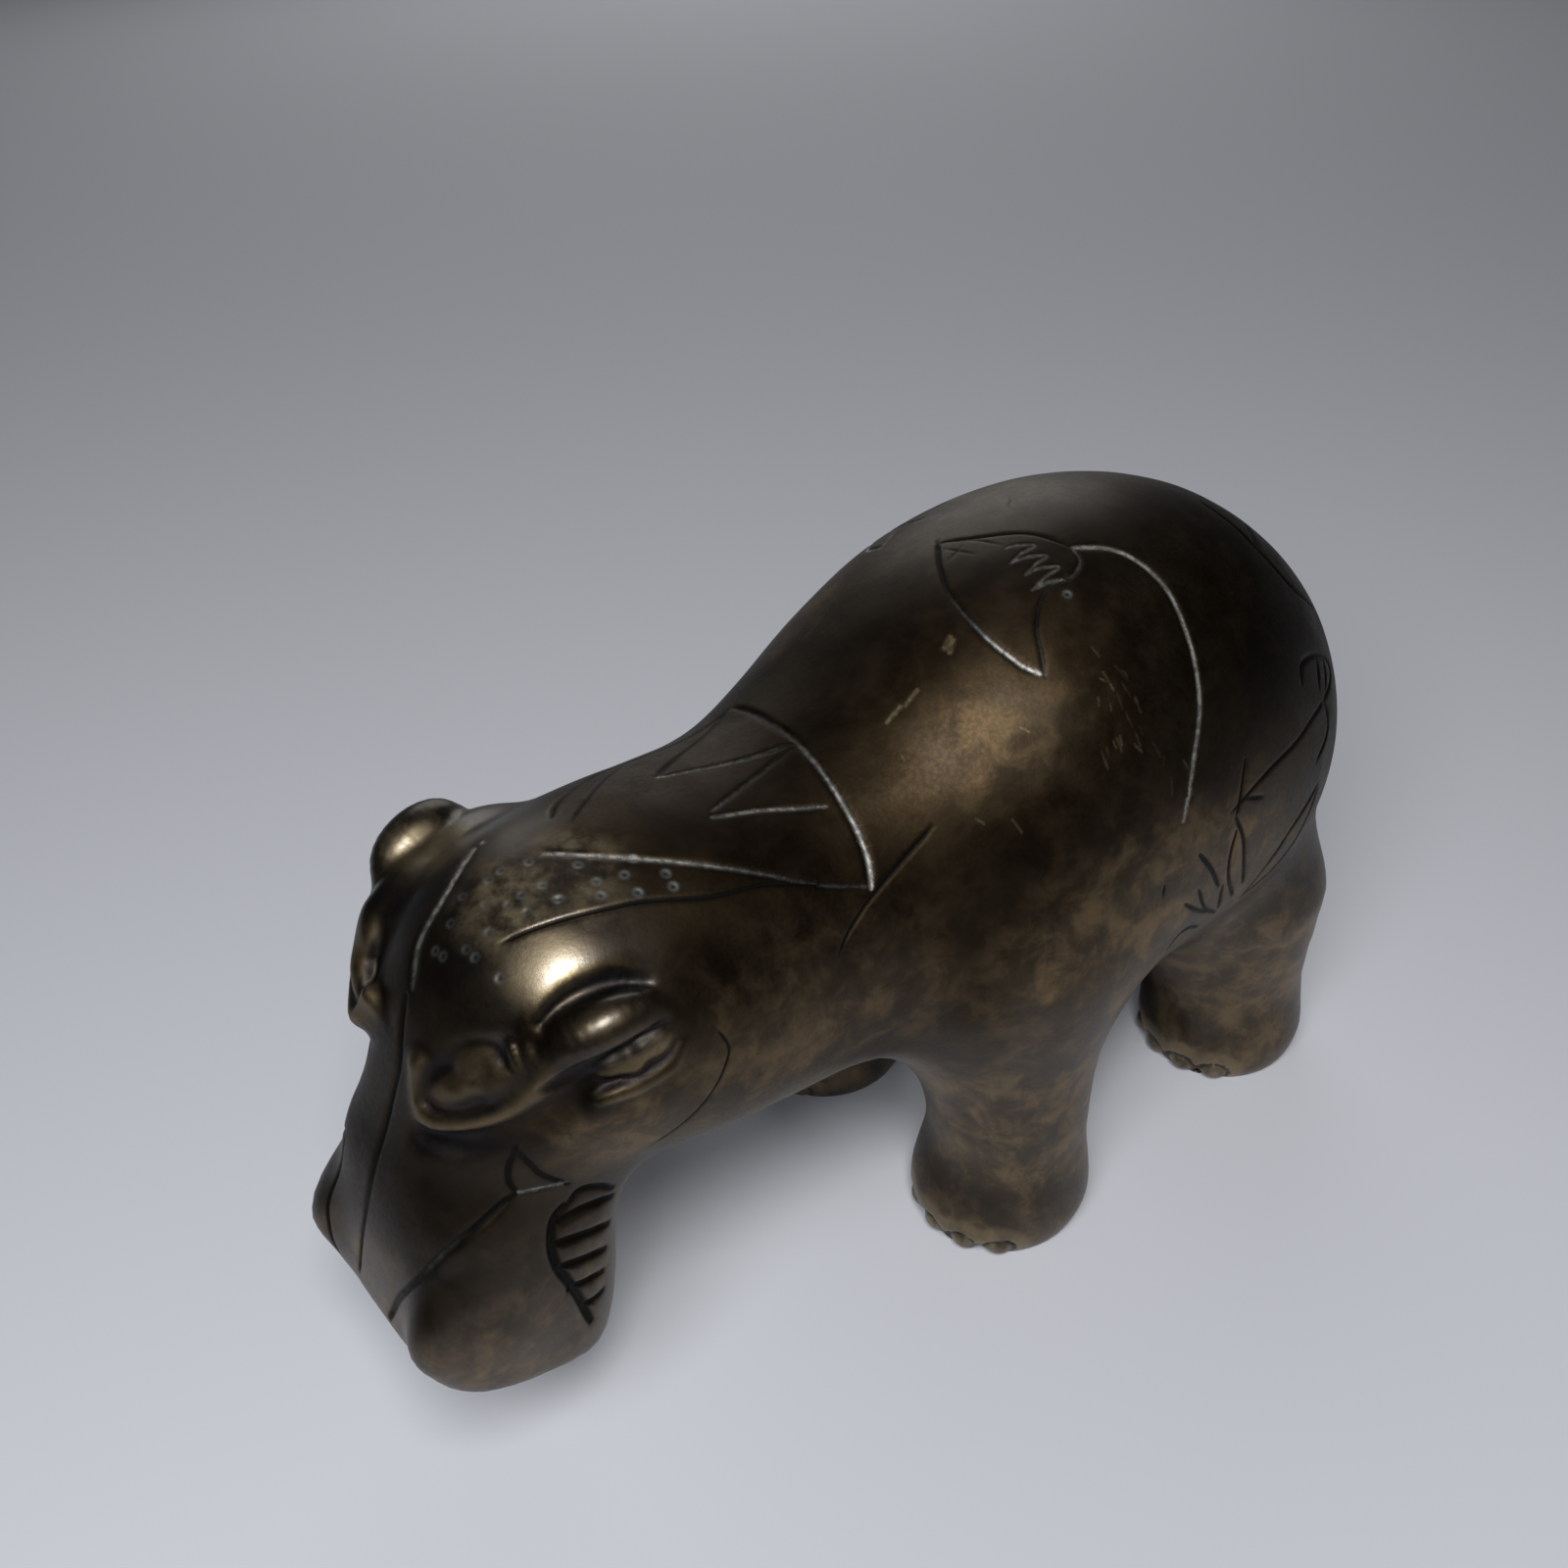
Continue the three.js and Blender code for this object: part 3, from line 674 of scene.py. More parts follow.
def back_ornament(body):
    """A hanging flower on the back, with its stem."""
    body([(17.3, -8.5), (21.2, -2.2), (26.1, 3.9), (28.3, 9.5), (29, 12)], width=0.34, depth=0.2)
    body([(17.8, -9), (13.2, -2), (10.1, 6), (9.1, 17), (10.2, 26), (11.6, 30)],
         width=0.44, depth=0.26, pale=(0, 0, 0.05, 0.15, 0.9, 1))
    notch = [(29, 12), (28.2, 15.5), (25.3, 17.4), (21.8, 17), (18.9, 17.9), (15.4, 22), (13.5, 27)]
    body(notch + [(12.2, 31)], width=0.34, depth=0.2, pale=(0.3, 0.05, 0, 0.1))
    stem = [(29.2, 12.4), (33.6, 16), (36.2, 21), (37.4, 28), (36.7, 35), (34.9, 44), (32.5, 52)]
    body(stem + [(28.7, 61), (25.2, 72)], width=0.5, depth=0.26,
         pale=(0.75, 0.9, 0.7, 0.9, 0.85, 0.75, 0.85, 0.6))
    # a coil of feathery loops inside the flower, then some hatching
    left = [(21.8, 4.4), (20, 8), (19.9, 12), (18.7, 15.5)]
    right = [(25.1, 7.5), (24.9, 11), (24.7, 14.5), (23.8, 17.4)]
    for k, ((x0, g0), (x1, g1)) in enumerate(zip(left, right)):
        x2, g2 = left[min(k + 1, 3)]
        over = ((x0 + x1) / 2 - 0.3, (g0 + g1) / 2 - 0.9)
        under = ((x1 + x2) / 2 + 0.3, (g1 + g2) / 2 - 0.3)
        body([(x0, g0), over, (x1, g1), under, (x2, g2)], width=0.28, depth=0.12, pale=0.35)
    hatch = {"width": 0.26, "depth": 0.1}
    body([(16.7, -5.6), (18, 0.8)], **hatch)
    body([(15, -2.1), (18.5, -2.9)], **hatch)
    body([(18, -7), (20.5, -2), (21.8, 3)], **hatch)


def scratches(body):
    """Wear on the left flank: short bright scratches, two pairs of scrapes and a fine crack."""
    dice = np.random.default_rng(5)
    fields = [(20, (13.5, 23), (31, 53)), (5, (20, 28), (56, 66)), (5, (-10, 12), (20, 70))]
    for count, (x0, x1), (g0, g1) in fields:
        for _ in range(count):
            x, girth = dice.uniform(x0, x1), dice.uniform(g0, g1)
            end = (x + dice.uniform(-0.5, 0.9), girth + dice.uniform(1.0, 4.0))
            body([(x, girth), end], width=0.2, depth=0.05, gold=dice.uniform(0.1, 0.5))
    scrapes = [
        ([(4.1, 13.6), (5.8, 12.4)], 0.5),
        ([(4.3, 15), (5.7, 13.4)], 0.55),
        ([(-7.8, 18.4), (-5.2, 17.4)], 0.42),
        ([(-4.6, 18), (-2.2, 17)], 0.42),
    ]
    for stroke, wide in scrapes:
        body(stroke, width=wide, depth=0.06, gold=0.5)
    body([(33.5, -9), (31.6, -6.4), (30.4, -5.6), (29.2, -3)], width=0.2, depth=0.08)


def rump_ornament(body):
    """Reeds, a bud and open flowers on rump and hind flank."""
    fine = {"width": 0.42, "depth": 0.32}
    deep = {"width": 0.48, "depth": 0.36}
    body([(63.5, 10), (65, 20), (66, 28), (69, 38), (76, 46)], width=0.44, depth=0.28)
    body([(72, 17), (65.7, 27)], **fine)
    body([(59.1, 60), (60.9, 56), (66.5, 56.5), (71.6, 60), (73.2, 65), (70.7, 68), (66.3, 69)], **fine)
    body([(67.1, 58), (66.4, 61), (65.4, 65)], **fine)
    body([(70.3, 60), (69.6, 64), (68.1, 67)], **fine)
    body([(66.3, 69), (67.7, 74), (67, 79), (62, 83)], **fine)
    body([(66.3, 69), (60.9, 70), (54.9, 72), (46, 73.5), (36, 77)], width=0.4, depth=0.26)
    body([(39.5, 76), (44.3, 79)], **fine)
    body([(40.1, 67), (38, 76), (37.1, 79)], **fine)
    # open flower whose leaves spread downwards
    body([(37.1, 79), (39.7, 86), (41.6, 94), (44.5, 105)], **deep)
    body([(37.6, 83), (37.1, 90), (38.7, 98), (42.9, 108)], **deep)
    body([(28.9, 83), (32.1, 89), (36, 98)], width=0.5, depth=0.34)
    body([(30.2, 94), (34.4, 104), (39.5, 111)], **fine)
    body([(27.4, 96), (31.7, 102), (36, 107)], **fine)
    body([(37.3, 99), (38.4, 104), (39.6, 109)], **deep)
    body([(21.5, 86), (21.3, 88.5)], **fine)
    body([(28.2, 113), (29.6, 109), (32.5, 109.5), (36, 113)], width=0.46, depth=0.32)
    # long double leaf
    body([(64.4, 92), (60, 95), (55.7, 99), (52, 105), (48.3, 113)], **deep)
    body([(64.6, 94), (63, 101), (59.8, 108), (54.4, 113), (47.6, 114)], **deep)


def far_ornament(body, muzzle):
    """Plainer marsh plants on the right side: two hanging flowers on one stem and three reeds."""
    plain = {"width": 0.42, "depth": 0.28}

    def flower(x, girth, size, pale):
        point = (x + 0.2 * size, girth - 0.5 * size)
        for lean in (-1, 0, 1):
            tip = (x + lean * 0.62 * size, girth + (1.15 - 0.2 * abs(lean)) * size)
            bend = (x + lean * 0.5 * size, girth + 0.35 * size)
            body([point, bend, tip], pale=pale, **plain)
        side = 0.62 * size
        low = [(x - side, girth + 0.95 * size), (x, girth + side), (x + side, girth + 0.95 * size)]
        body(low, pale=0.2, **plain)

    body([(16, -100), (18, -84), (25, -66), (36, -54), (50, -52)], pale=(0.2, 0.8, 0.5), **plain)
    body([(25, -66), (22, -52), (24, -42)], pale=0.6, **plain)
    flower(24, -36, 13, 0.5)
    flower(53, -47, 12, 0.3)
    for x, lean in ((52, 3), (58, 6), (64, 9)):
        body([(x, -112), (x + 0.4 * lean, -96), (x + lean, -78)], **plain)
    # mouth corner with its teeth, cheek and muzzle line
    muzzle([(z, -turn) for z, turn in MOUTH], width=0.7, depth=0.55, ends=(0.8, 0.5))
    for z, turn, drop in ((54, 71, 2), (50.6, 69, 3), (46.6, 70, 3.2), (42, 73, 2.6), (37.6, 76, 1.2)):
        muzzle([(z, -turn), (z - 0.5 * drop, -turn - 10), (z - drop, -turn - 20)],
               width=0.55, depth=0.45, ends=(0.9, 0.3))
    muzzle([(70, -58), (65, -57), (60.1, -56), (56, -40), (60.1, -24)], width=0.42, depth=0.3)
    body([(-51.2, -65), (-50, -74), (-53, -87), (-58.5, -102)], width=0.3, depth=0.16)


def draw_lines():
    lines = Lines()
    body = partial(lines.cut, on_body)
    muzzle = partial(lines.cut, on_muzzle)
    head_ornament(body, muzzle)
    muzzle_ornament(body, muzzle)
    back_ornament(body)
    rump_ornament(body)
    far_ornament(body, muzzle)
    scratches(body)
    lines.build()
    return lines


# Punched dots between the leaves of the head, as x and girth
DOTS = [
    (-61.6, 10), (-61.3, 16), (-56.2, 10), (-55.8, 17), (-56.5, 21), (-52.2, 19), (-49.8, 16), (-52.2, 25),
    (-47.5, 24), (-47.7, 28), (-69.4, -4), (-61.9, -18), (-65.9, -2), (-64, -2), (-60.7, 1), (-64.3, 9),
    (-66.3, 9), (-68.3, 4), (-61.1, 16), (-65.2, 14), (-72.4, 0), (-70.1, 12), (-75.4, 2), (-75.2, 6),
    (-73, 11), (-72.8, 15), (-72, 25), (22.4, 20),
]
DOT_REACH = 1.1
DOT_DEPTH = 0.1
DOT_BOWL = 0.45
DOT_RING = 0.5
DOT_RING_WIDTH = 0.24

# Places with finer mesh: the brow, eye and ear with centre and reach, and toes
BROW = {"behind": -88, "before": -52, "above": 70, "beside": 3}
FINE_SPOTS = [((-78, 13, 80), 11.5), ((-64, 22.5, 85), 12)]
RIGHT_SPOT_LIFT = 2.4
TOE_REACH = 4.5

# How far a point looks in and out along its normal for ridges and hollows
PROUD_REACH = 2.5

# What is noted at each point for the material: where the finish differs or shade is
# painted, the traces of tools and of wear, and how proud or sunk the skin is
PLACES = ["rubbed", "patina_and_shade", "polished", "waxed", "bare"]
TRACES = ["cut", "pale", "gold", "ring", "proud", "sunk"]

# Lines reach this far, and a point this close to one slides onto it
LINE_REACH = 2.6
ON_LINE = 0.16
BESIDE_LINE = 1.4


def cloud(p, size, seed):
    """Smooth noise from -1 to 1 with lumps of about the given size."""
    n = NOISE_CELLS
    table = np.random.default_rng(seed).uniform(-1, 1, (n, n, n))
    q = p / size
    low = np.floor(q).astype(int)
    t = q - low
    t = t * t * (3 - 2 * t)
    total = 0
    for corner in CORNERS:
        weight = np.prod(np.where(corner, t, 1 - t), axis=1)
        total = total + weight * table[tuple(((low + corner) % n).T)]
    return total


def wanted_edges(lines, dots):
    """A function that gives the longest edge wanted at each point."""
    spots = []
    for (x, y, z), reach in FINE_SPOTS:
        spots.append(((x, -y, z), reach, RELIEF_EDGE, 0.3))
        spots.append(((x, y, z + RIGHT_SPOT_LIFT), reach, RELIEF_EDGE, 0.3))
    spots += [(at, TOE_REACH, RELIEF_EDGE, 0.3) for at in all_toes()]
    spots += [(at, DOT_REACH, CUT_EDGE, 0.7) for at in dots]

    def wanted(p):
        size = np.full(len(p), PLAIN_EDGE)
        x, y, z = p.T
        brow = (x > BROW["behind"]) & (x < BROW["before"]) & (z > BROW["above"])
        size[brow & (np.abs(y) > BROW["beside"])] = BROW_EDGE
        for at, reach, edge, growth in spots:
            d = size_of(p - at)
            size = np.minimum(size, np.maximum(edge, edge + growth * (d - reach)))
        away, _ = lines.nearest(p, 4)
        return np.minimum(size, np.maximum(CUT_EDGE, CUT_EDGE + 0.9 * (away - 0.45)))

    return wanted


def plain_skin(wanted):
    """The smooth skin's mesh, as fine as wanted, and which points lie on a sole."""
    points, triangles, ground, rim = walk()
    keep = main_piece(points, triangles)
    triangles = (np.cumsum(keep) - 1)[triangles[keep[triangles].all(1)]]
    points, ground, rim = points[keep], ground[keep], rim[keep]
    points = settle(points, ground)
    for _ in range(REFINING_PASSES):
        before = len(points)
        points, triangles, ground, rim = refine(points, triangles, ground, rim, wanted)
        held = ground[before:]
        moved = settle(points[before:], held, 2)
        points[before:] = np.where((held & ~rim[before:])[:, None], points[before:], moved)
        if len(points) == before:
            break
    even_out(points, triangles, ~ground, 0.5, 4)
    points[~ground] = settle(points[~ground], np.zeros((~ground).sum(), bool), 2)
    return points, triangles, ground


def slide_onto_lines(points, triangles, ground, lines):
    """Slides the closest point of each short stretch of a line onto it, to make its bottom run true."""
    away, number = lines.nearest(points, LINE_REACH)
    close = np.nonzero((away < ON_LINE) & ~ground)[0]
    close = close[np.argsort(away[close])]
    _, first = np.unique(number[close] // 3, return_index=True)
    on_line = np.zeros(len(points), bool)
    on_line[close[first]] = True
    points[on_line] = lines.rows[number[on_line], :3]
    even_out(points, triangles, (away < BESIDE_LINE) & ~on_line & ~ground, 0.4, 2)


def make_skin():
    """The finished skin: points, triangles, normals, and a value from 0 to 1 for each of TRACES."""
    lines = draw_lines()
    dots = on_body(*np.array(DOTS, float).T)
    points, triangles, ground = plain_skin(wanted_edges(lines, dots))
    slide_onto_lines(points, triangles, ground, lines)
    away, number = lines.nearest(points, LINE_REACH)

    _, rise = slope(points)
    normal = unit(rise)
    hit = number >= 0
    wide, deep, pale, gold = np.where(hit, lines.rows[number, 3:].T, [[1], [0], [0], [0]])
    cut = np.exp(-((away / wide) ** 2)) * hit
    burr = np.exp(-(((away - 1.7 * wide) / (0.6 * wide)) ** 2)) * hit
    lift = -deep * cut + 0.04 * deep * burr
    ring = np.zeros(len(points))
    for at in dots:
        d = size_of(points - at)
        lift -= DOT_DEPTH * np.exp(-((d / DOT_BOWL) ** 2))
        ring = np.maximum(ring, np.exp(-(((d - DOT_RING) / DOT_RING_WIDTH) ** 2)))
    lift += uneven(points)
    lift[ground] = 0

    inward = skin(points - PROUD_REACH * normal)
    outward = skin(points + PROUD_REACH * normal)
    points = points + normal * lift[:, None]
    points[:, 2] = np.maximum(points[:, 2], 0)
    cut = cut * np.minimum(deep / 0.2, 1)
    pale = pale * np.exp(-((away / (0.75 * wide)) ** 4)) * hit
    gold = gold * np.exp(-((away / (0.9 * wide)) ** 4)) * hit
    traces = [cut, pale, gold, ring, 1 + inward / PROUD_REACH, 1 - outward / PROUD_REACH]
    return points, triangles, normal, [np.clip(t, 0, 1) for t in traces]


def in_places(p, places, both_sides=True):
    """The strongest of some soft spots, each a centre, radii and strength, mirrored for both sides."""
    q = p * 1.0
    if both_sides:
        q[:, 1] = np.abs(q[:, 1])
    total = np.zeros(len(p))
    for at, radii, strength in places:
        d = np.sqrt((((q - at) / radii) ** 2).sum(1))
        total = np.maximum(total, strength * smooth_step(1.35, 0.4, d))
    return total


def uneven(p):
    """How far casting and wear lift the skin: soft waves, wrinkled legs, rough ears and eyes."""
    waves = 0.10 * cloud(p, 13, 1) + 0.035 * cloud(p, 5, 2)
    crumbly = in_places(p, [((-62, 24, 82.5), (5.5, 3, 3), 1), ((-78, 13, 80.5), (4.5, 4.5, 3.6), 0.8)])
    wrinkled = smooth_step(48, 30, p[:, 2]) * smooth_step(-30, -16, p[:, 0])
    rough = 0.26 * crumbly * cloud(p, 1.7, 4)
    return waves + rough + 0.08 * wrinkled * cloud(p * (0.35, 0.35, 1.0), 2.2, 3)


def rubbed_places(p, normal):
    """How far the dark patina is rubbed through to lighter bronze, from 0 to 1."""
    low = 0.62 * smooth_step(0.8, 0.1, normal[:, 2]) * smooth_step(62, 34, p[:, 2])
    places = [
        ((-64, 24, 68), (14, 12, 14), 0.45),
        ((-84, 10, 32), (14, 24, 15), 0.95),
        ((-40, 26, 68), (32, 14, 20), 0.42),
        ((10, 34, 46), (20, 14, 22), 0.52),
        ((24, 38, 64), (40, 10, 22), 0.68),
        ((70, 30, 26), (26, 22, 20), 0.66),
        ((2, 22, 100), (18, 10, 9), 0.36),
        ((-63, 5, 98), (12, 12, 6), 0.15),
    ]
    return np.clip(np.maximum(low, in_places(p, places)), 0, 1)


def bare_places(p):
    """Where handling has rubbed the metal bare, from 0 to 1, the left side being negative y."""
    places = [
        ((-67.4, -13.2, 94.2), (6, 6.5, 6), 0.42),
        ((-66, 16.5, 97), (8, 7, 6), 0.6),
        ((-67, -3, 98), (9, 8, 5), 0.8),
        ((-58, -5, 98), (8, 8, 5), 0.5),
        ((-63, -21.5, 88.6), (7, 2.6, 2.6), 0.2),
        ((-61, -24, 83), (4.2, 3, 2.6), 0.5),
        ((-68, 21, 92), (6, 5, 5), 0.55),
        ((-83, 12, 85), (4, 5, 8), 0.3),
    ]
    places += [(at, (4.5, 4.5, 3.6), 0.9) for at in all_toes()]
    return in_places(p, places, False)


def patina_and_shade_places(p):
    """Where dark patina has stayed thick, and painted shade in hollows, creases, under the lid and between
    the hind legs, from 0 to 1.
    """
    places = [
        ((-69, 22, 80), (9, 5, 4.5), 1.0),
        ((-80, 14, 71), (9, 9, 4), 0.85),
        ((-74, 15, 81), (9, 5, 6), 0.75),
        ((-65, 17.5, 91.0), (9.5, 2.8, 3.2), 1.0),
        ((-71, 16.8, 88), (3.5, 3, 3.5), 0.9),
        ((-92, 4, 62), (10, 16, 15), 0.45),
        ((76, 20, 76), (22, 26, 30), 0.6),
        ((72, 8, 22), (18, 11, 22), 0.9),
        ((-30, 6, 95), (24, 14, 8), 0.4),
    ]
    return in_places(p, places)


def polished_places(p):
    """Where the skin is polished, from 0 to 1: on the brow."""
    return in_places(p, [((-67, 15, 93), (12, 11, 12), 1.0)])


def waxed_places(p):
    """Where clear wax has stayed, from 0 to 1: low on the body, along the back and on the brow."""
    places = [((36, 2, 118), (52, 24, 10), 0.2), ((-66, 12, 93), (14, 14, 11), 1.0)]
    return np.maximum(in_places(p, places), 0.25 * smooth_step(64, 46, p[:, 2]))


# Materials

# Colours of the finish, the floor and the lights
DARK_PATINA = (0.021, 0.014, 0.008, 1)
BROWN_PATINA = (0.042, 0.030, 0.017, 1)
DARK_BLOTS = (0.021, 0.015, 0.010, 1)
RUBBED_BROWN = (0.110, 0.085, 0.058, 1)
RUBBED_BRONZE = (0.265, 0.184, 0.102, 1)
RUBBED_GREY = (0.080, 0.073, 0.066, 1)
# near black: thick patina, and painted shade in hollows and creases
THICK_PATINA_AND_SHADE = (0.012, 0.009, 0.007, 1)
BARE_METAL = (0.40, 0.325, 0.20, 1)
WORN_RIDGE = (0.36, 0.275, 0.155, 1)
# dirt and painted shade in hollows
HOLLOW_DIRT_AND_SHADE = (0.030, 0.028, 0.030, 1)
LINE_DIRT = (0.014, 0.013, 0.012, 1)
SILVER = (0.62, 0.61, 0.58, 1)
SCRATCH = (0.30, 0.245, 0.15, 1)
RING = (0.30, 0.33, 0.34, 1)
PALE_FLOOR = (0.50, 0.52, 0.57, 1)
SKY = (0.80, 0.86, 1.0, 1)
WARM = (1.0, 0.98, 0.95)


class Nodes:
    """A small helper that makes and links shader nodes."""

    def __init__(self, tree):
        self.tree = tree
        tree.nodes.clear()

    def fill(self, socket, value):
        """Links value to a socket, or sets the socket to it if it's a plain value."""
        if isinstance(value, bpy.types.NodeSocket):
            self.tree.links.new(value, socket)
        else:
            socket.default_value = value

    def put(self, kind, inputs=(), **settings):
        node = self.tree.nodes.new(kind)
        for name, value in settings.items():
            setattr(node, name, value)
        for key, value in dict(inputs).items():
            self.fill(node.inputs[key], value)
        return node

    def attribute(self, name):
        return self.put("ShaderNodeAttribute", attribute_name=name).outputs["Fac"]

    def noise(self, where, scale, detail=4, roughness=0.55, distortion=0.0):
        inputs = {"Vector": where, "Scale": scale, "Detail": detail, "Roughness": roughness}
        inputs["Distortion"] = distortion
        return self.put("ShaderNodeTexNoise", inputs).outputs["Fac"]

    def ramp(self, value, low, high, to_low=0.0, to_high=1.0):
        inputs = {"Value": value, "From Min": low, "From Max": high, "To Min": to_low, "To Max": to_high}
        return self.put("ShaderNodeMapRange", inputs, interpolation_type="SMOOTHSTEP").outputs["Result"]

    def math(self, operation, a, b):
        return self.put("ShaderNodeMath", {0: a, 1: b}, operation=operation).outputs[0]

    def times(self, a, b):
        return self.math("MULTIPLY", a, b)

    def plus(self, a, b):
        return self.math("ADD", a, b)

    def mix(self, factor, a, b):
        """Colour a where factor is 0, colour b where it is 1."""
        node = self.put("ShaderNodeMix", data_type="RGBA")
        for name, value in (("Factor", factor), ("A", a), ("B", b)):
            self.fill(next(s for s in node.inputs if s.name == name and s.enabled), value)
        return next(s for s in node.outputs if s.enabled)


def new_material(name):
    material = bpy.data.materials.new(name)
    material.use_nodes = True
    return material, Nodes(material.node_tree)


def bronze_material():
    material, n = new_material("patinated_bronze")
    where = n.put("ShaderNodeTexCoord").outputs["Object"]
    squeezed = n.put("ShaderNodeMapping", {"Vector": where, "Scale": (1.0, 1.0, 0.16)}).outputs[0]
    rubbed, patina_and_shade, polished, waxed, bare = map(n.attribute, PLACES)
    cut, pale, gold, ring, proud, sunk = map(n.attribute, TRACES)

    patches = n.noise(where, 70, 5, 0.6, 0.6)
    blots = n.noise(where, 170, 5, 0.62, 0.3)
    grain = n.noise(where, 1500, 3, 0.6)
    brushed = n.noise(squeezed, 1300, 3, 0.65)

    dark = n.mix(n.ramp(patches, 0.35, 0.7), DARK_PATINA, BROWN_PATINA)
    dark = n.mix(n.ramp(blots, 0.55, 0.75, 0, 0.5), dark, DARK_BLOTS)
    light = n.mix(n.ramp(blots, 0.36, 0.68), RUBBED_BROWN, RUBBED_BRONZE)
    light = n.mix(n.ramp(patches, 0.50, 0.74, 0, 0.7), light, RUBBED_GREY)
    through_patina = n.plus(rubbed, n.ramp(blots, 0.3, 0.75, -0.12, 0.12))
    colour = n.mix(n.ramp(through_patina, -0.05, 1.0), dark, light)
    # thick patina, and painted shade in hollows, creases, under the lid and between the hind legs
    tarnish_and_shade = n.times(patina_and_shade, n.ramp(blots, 0.25, 0.7, 1.0, 0.55))
    colour = n.mix(tarnish_and_shade, colour, THICK_PATINA_AND_SHADE)
    golden = n.noise(where, 260, 5, 0.6)
    mottle = n.math("MAXIMUM", n.ramp(golden, 0.34, 0.68), n.ramp(polished, 0.75, 1))
    colour = n.mix(n.times(bare, mottle), colour, BARE_METAL)
    worn = n.times(n.ramp(proud, 0.22, 0.75, 0, 0.43), n.ramp(blots, 0.3, 0.6, 0.55, 1.0))
    colour = n.mix(worn, colour, WORN_RIDGE)
    # dirt and painted shade in hollows, darker where the skin is more enclosed
    colour = n.mix(n.ramp(sunk, 0.14, 0.5, 0, 0.85), colour, HOLLOW_DIRT_AND_SHADE)
    colour = n.mix(n.ramp(cut, 0.2, 0.7, 0, 0.95), colour, LINE_DIRT)
    speckle = n.ramp(n.noise(where, 900, 2), 0.42, 0.6)
    silver = n.times(pale, n.plus(n.times(speckle, 0.5), 0.5))
    colour = n.mix(silver, colour, SILVER)
    colour = n.mix(n.times(gold, n.ramp(speckle, 0, 1, 0.5, 1)), colour, SCRATCH)
    colour = n.mix(n.times(ring, 0.42), colour, RING)

    rough = n.plus(n.ramp(blots, 0.3, 0.7, 0.48, 0.58), n.ramp(grain, 0.35, 0.65, -0.03, 0.03))
    rough = n.math("SUBTRACT", rough, n.times(polished, 0.10))
    rough = n.plus(rough, n.times(cut, 0.12))

    height = n.plus(n.times(brushed, 0.5), n.times(grain, 0.5))
    fine = n.put("ShaderNodeBump", {"Strength": 0.34, "Distance": 0.00006, "Height": height}).outputs[0]
    pits = n.noise(where, 420, 3, 0.6)
    pitted = {"Strength": 0.35, "Distance": 0.00012, "Height": pits, "Normal": fine}
    bump = n.put("ShaderNodeBump", pitted).outputs[0]

    wax = n.times(waxed, n.ramp(n.math("MAXIMUM", tarnish_and_shade, cut), 0.1, 0.5, 1, 0))
    shader = n.put("ShaderNodeBsdfPrincipled", {
        "Base Color": colour,
        "Metallic": 1.0,
        "Roughness": rough,
        "Normal": bump,
        "Coat Weight": wax,
        "Coat Roughness": n.math("SUBTRACT", 0.34, n.times(polished, 0.10)),
        "Coat Normal": fine,
        "Coat IOR": 1.7,
    })
    n.put("ShaderNodeOutputMaterial", {"Surface": shader.outputs[0]})
    return material


def floor_material():
    material, n = new_material("pale_floor")
    shader = n.put("ShaderNodeBsdfPrincipled", {
        "Base Color": PALE_FLOOR,
        "Roughness": 0.9,
        "Emission Color": SKY,
        "Emission Strength": 0.006,
    })
    n.put("ShaderNodeOutputMaterial", {"Surface": shader.outputs[0]})
    return material


# The piece


def in_scene(name, data):
    thing = bpy.data.objects.new(name, data)
    bpy.context.scene.collection.objects.link(thing)
    return thing


def make_figure():
    points, triangles, normal, traces = make_skin()
    places = [rubbed_places(points, normal)]
    places += [f(points) for f in (patina_and_shade_places, polished_places, waxed_places, bare_places)]
    placed = (points - (MIDDLE_X, 0, 0)) * MM
    mesh = bpy.data.meshes.new("hippo_skin")
    mesh.from_pydata(placed, [], triangles, shade_flat=False)
    for name, values in zip(PLACES + TRACES, places + traces):
        layer = mesh.attributes.new(name, "FLOAT", "POINT")
        layer.data.foreach_set("value", values.astype(np.float32))
    mesh.materials.append(bronze_material())
    figure = in_scene("hippo_skin", mesh)
    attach(figure, "root")
    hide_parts("hippo_figure")


# Floor, light and camera

FLOOR_HALF = 3.0
FLOOR_HEIGHT = -0.00002
LIGHTS_AIM = Vector((0, 0, 0.05))


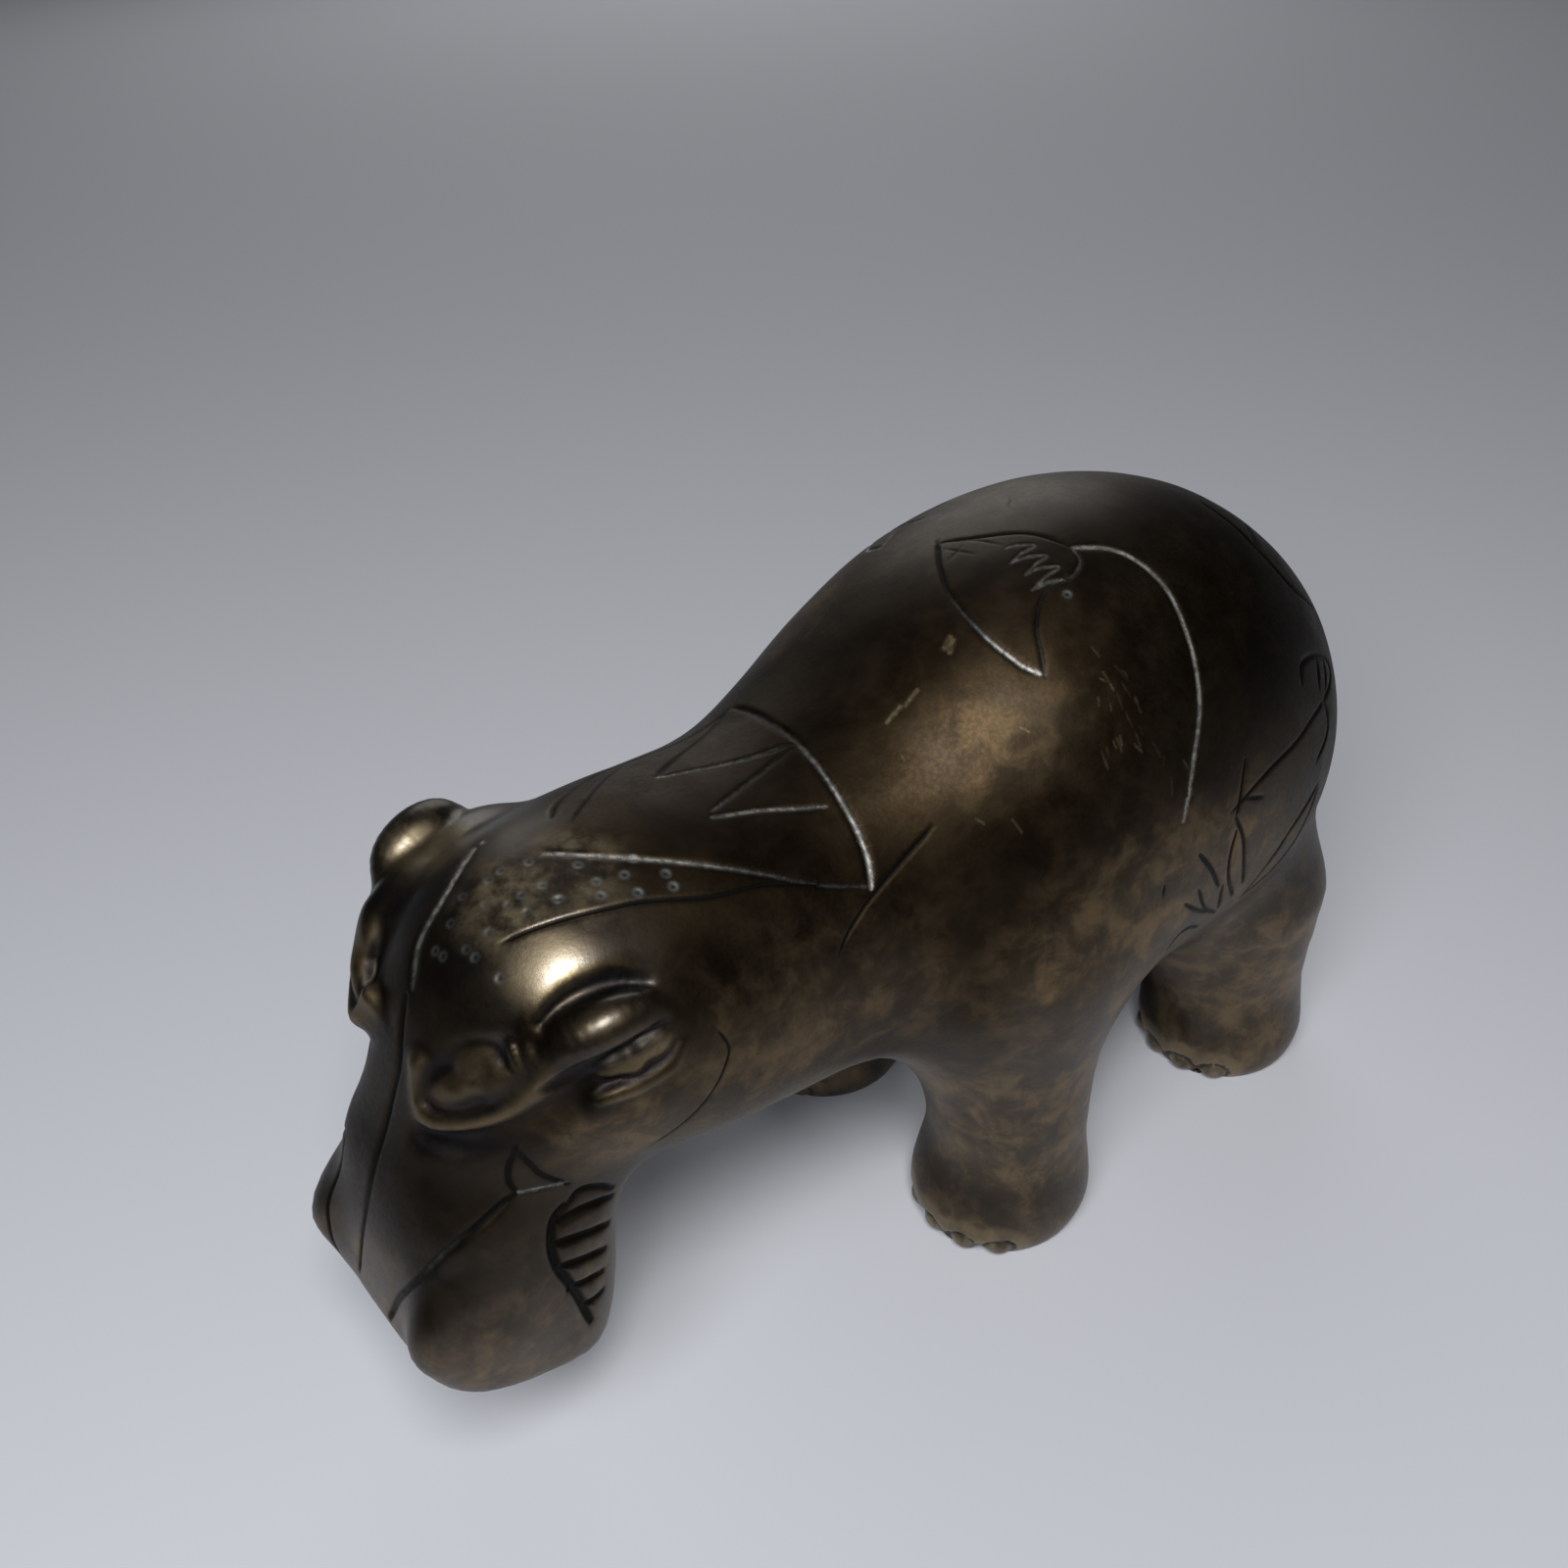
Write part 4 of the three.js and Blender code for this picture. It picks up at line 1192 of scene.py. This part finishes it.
def make_floor():
    mesh = bpy.data.meshes.new("floor")
    corners = [(x * FLOOR_HALF, y * FLOOR_HALF, 0) for x, y in ((-1, -1), (1, -1), (1, 1), (-1, 1))]
    mesh.from_pydata(corners, [], [(0, 1, 2, 3)])
    mesh.materials.append(floor_material())
    floor = in_scene("floor", mesh)
    floor.location.z = FLOOR_HEIGHT


def soft_light(name, towards, distance, size, power, colour=(1, 1, 1)):
    light = bpy.data.lights.new(name, "AREA")
    light.shape = "DISK"
    light.size = size
    light.energy = power
    light.color = colour
    lamp = in_scene(name, light)
    back = towards.normalized()
    lamp.location = back * distance + LIGHTS_AIM
    lamp.visible_camera = False
    lamp.rotation_mode = "QUATERNION"
    lamp.rotation_quaternion = back.to_track_quat("Z", "Y")
    return lamp


def make_lights():
    soft_light("key", Vector((-0.296, -0.449, 0.844)), 0.557, 0.161, 1.84, WARM)
    soft_light("back", Vector((0.58, 0.80, 0.52)), 1.4, 1.2, 4.5, WARM)
    # lights the floor from the left; the metal doesn't mirror it
    window = soft_light("window", Vector((-0.61, -0.35, 0.71)), 0.7, 0.36, 3.4)
    window.visible_glossy = False
    world = bpy.data.worlds.new("room")
    world.use_nodes = True
    n = Nodes(world.node_tree)
    shade = n.put("ShaderNodeBackground", {"Color": SKY, "Strength": 0.03})
    n.put("ShaderNodeOutputWorld", {"Surface": shade.outputs[0]})
    bpy.context.scene.world = world


CAMERA_AT = Vector((-0.12915, -0.14055, 0.22230))
CAMERA_AZIMUTH = math.radians(38.3097)
CAMERA_DOWN = math.radians(36.5131)
CAMERA_ROLL = math.radians(-2.1305)
CAMERA_LENS = 35.45


def make_camera():
    data = bpy.data.cameras.new("camera")
    data.lens = CAMERA_LENS
    data.sensor_width = 36
    data.clip_start = 0.01
    camera = in_scene("camera", data)
    turned = Matrix.Rotation(-CAMERA_AZIMUTH, 4, "Z") @ Matrix.Rotation(math.pi / 2 - CAMERA_DOWN, 4, "X")
    camera.matrix_world = Matrix.Translation(CAMERA_AT) @ turned @ Matrix.Rotation(CAMERA_ROLL, 4, "Z")
    bpy.context.scene.camera = camera


bpy.context.scene.view_settings.view_transform = "Standard"
make_camera()
make_figure()
make_floor()
make_lights()

bpy.context.view_layer.update()
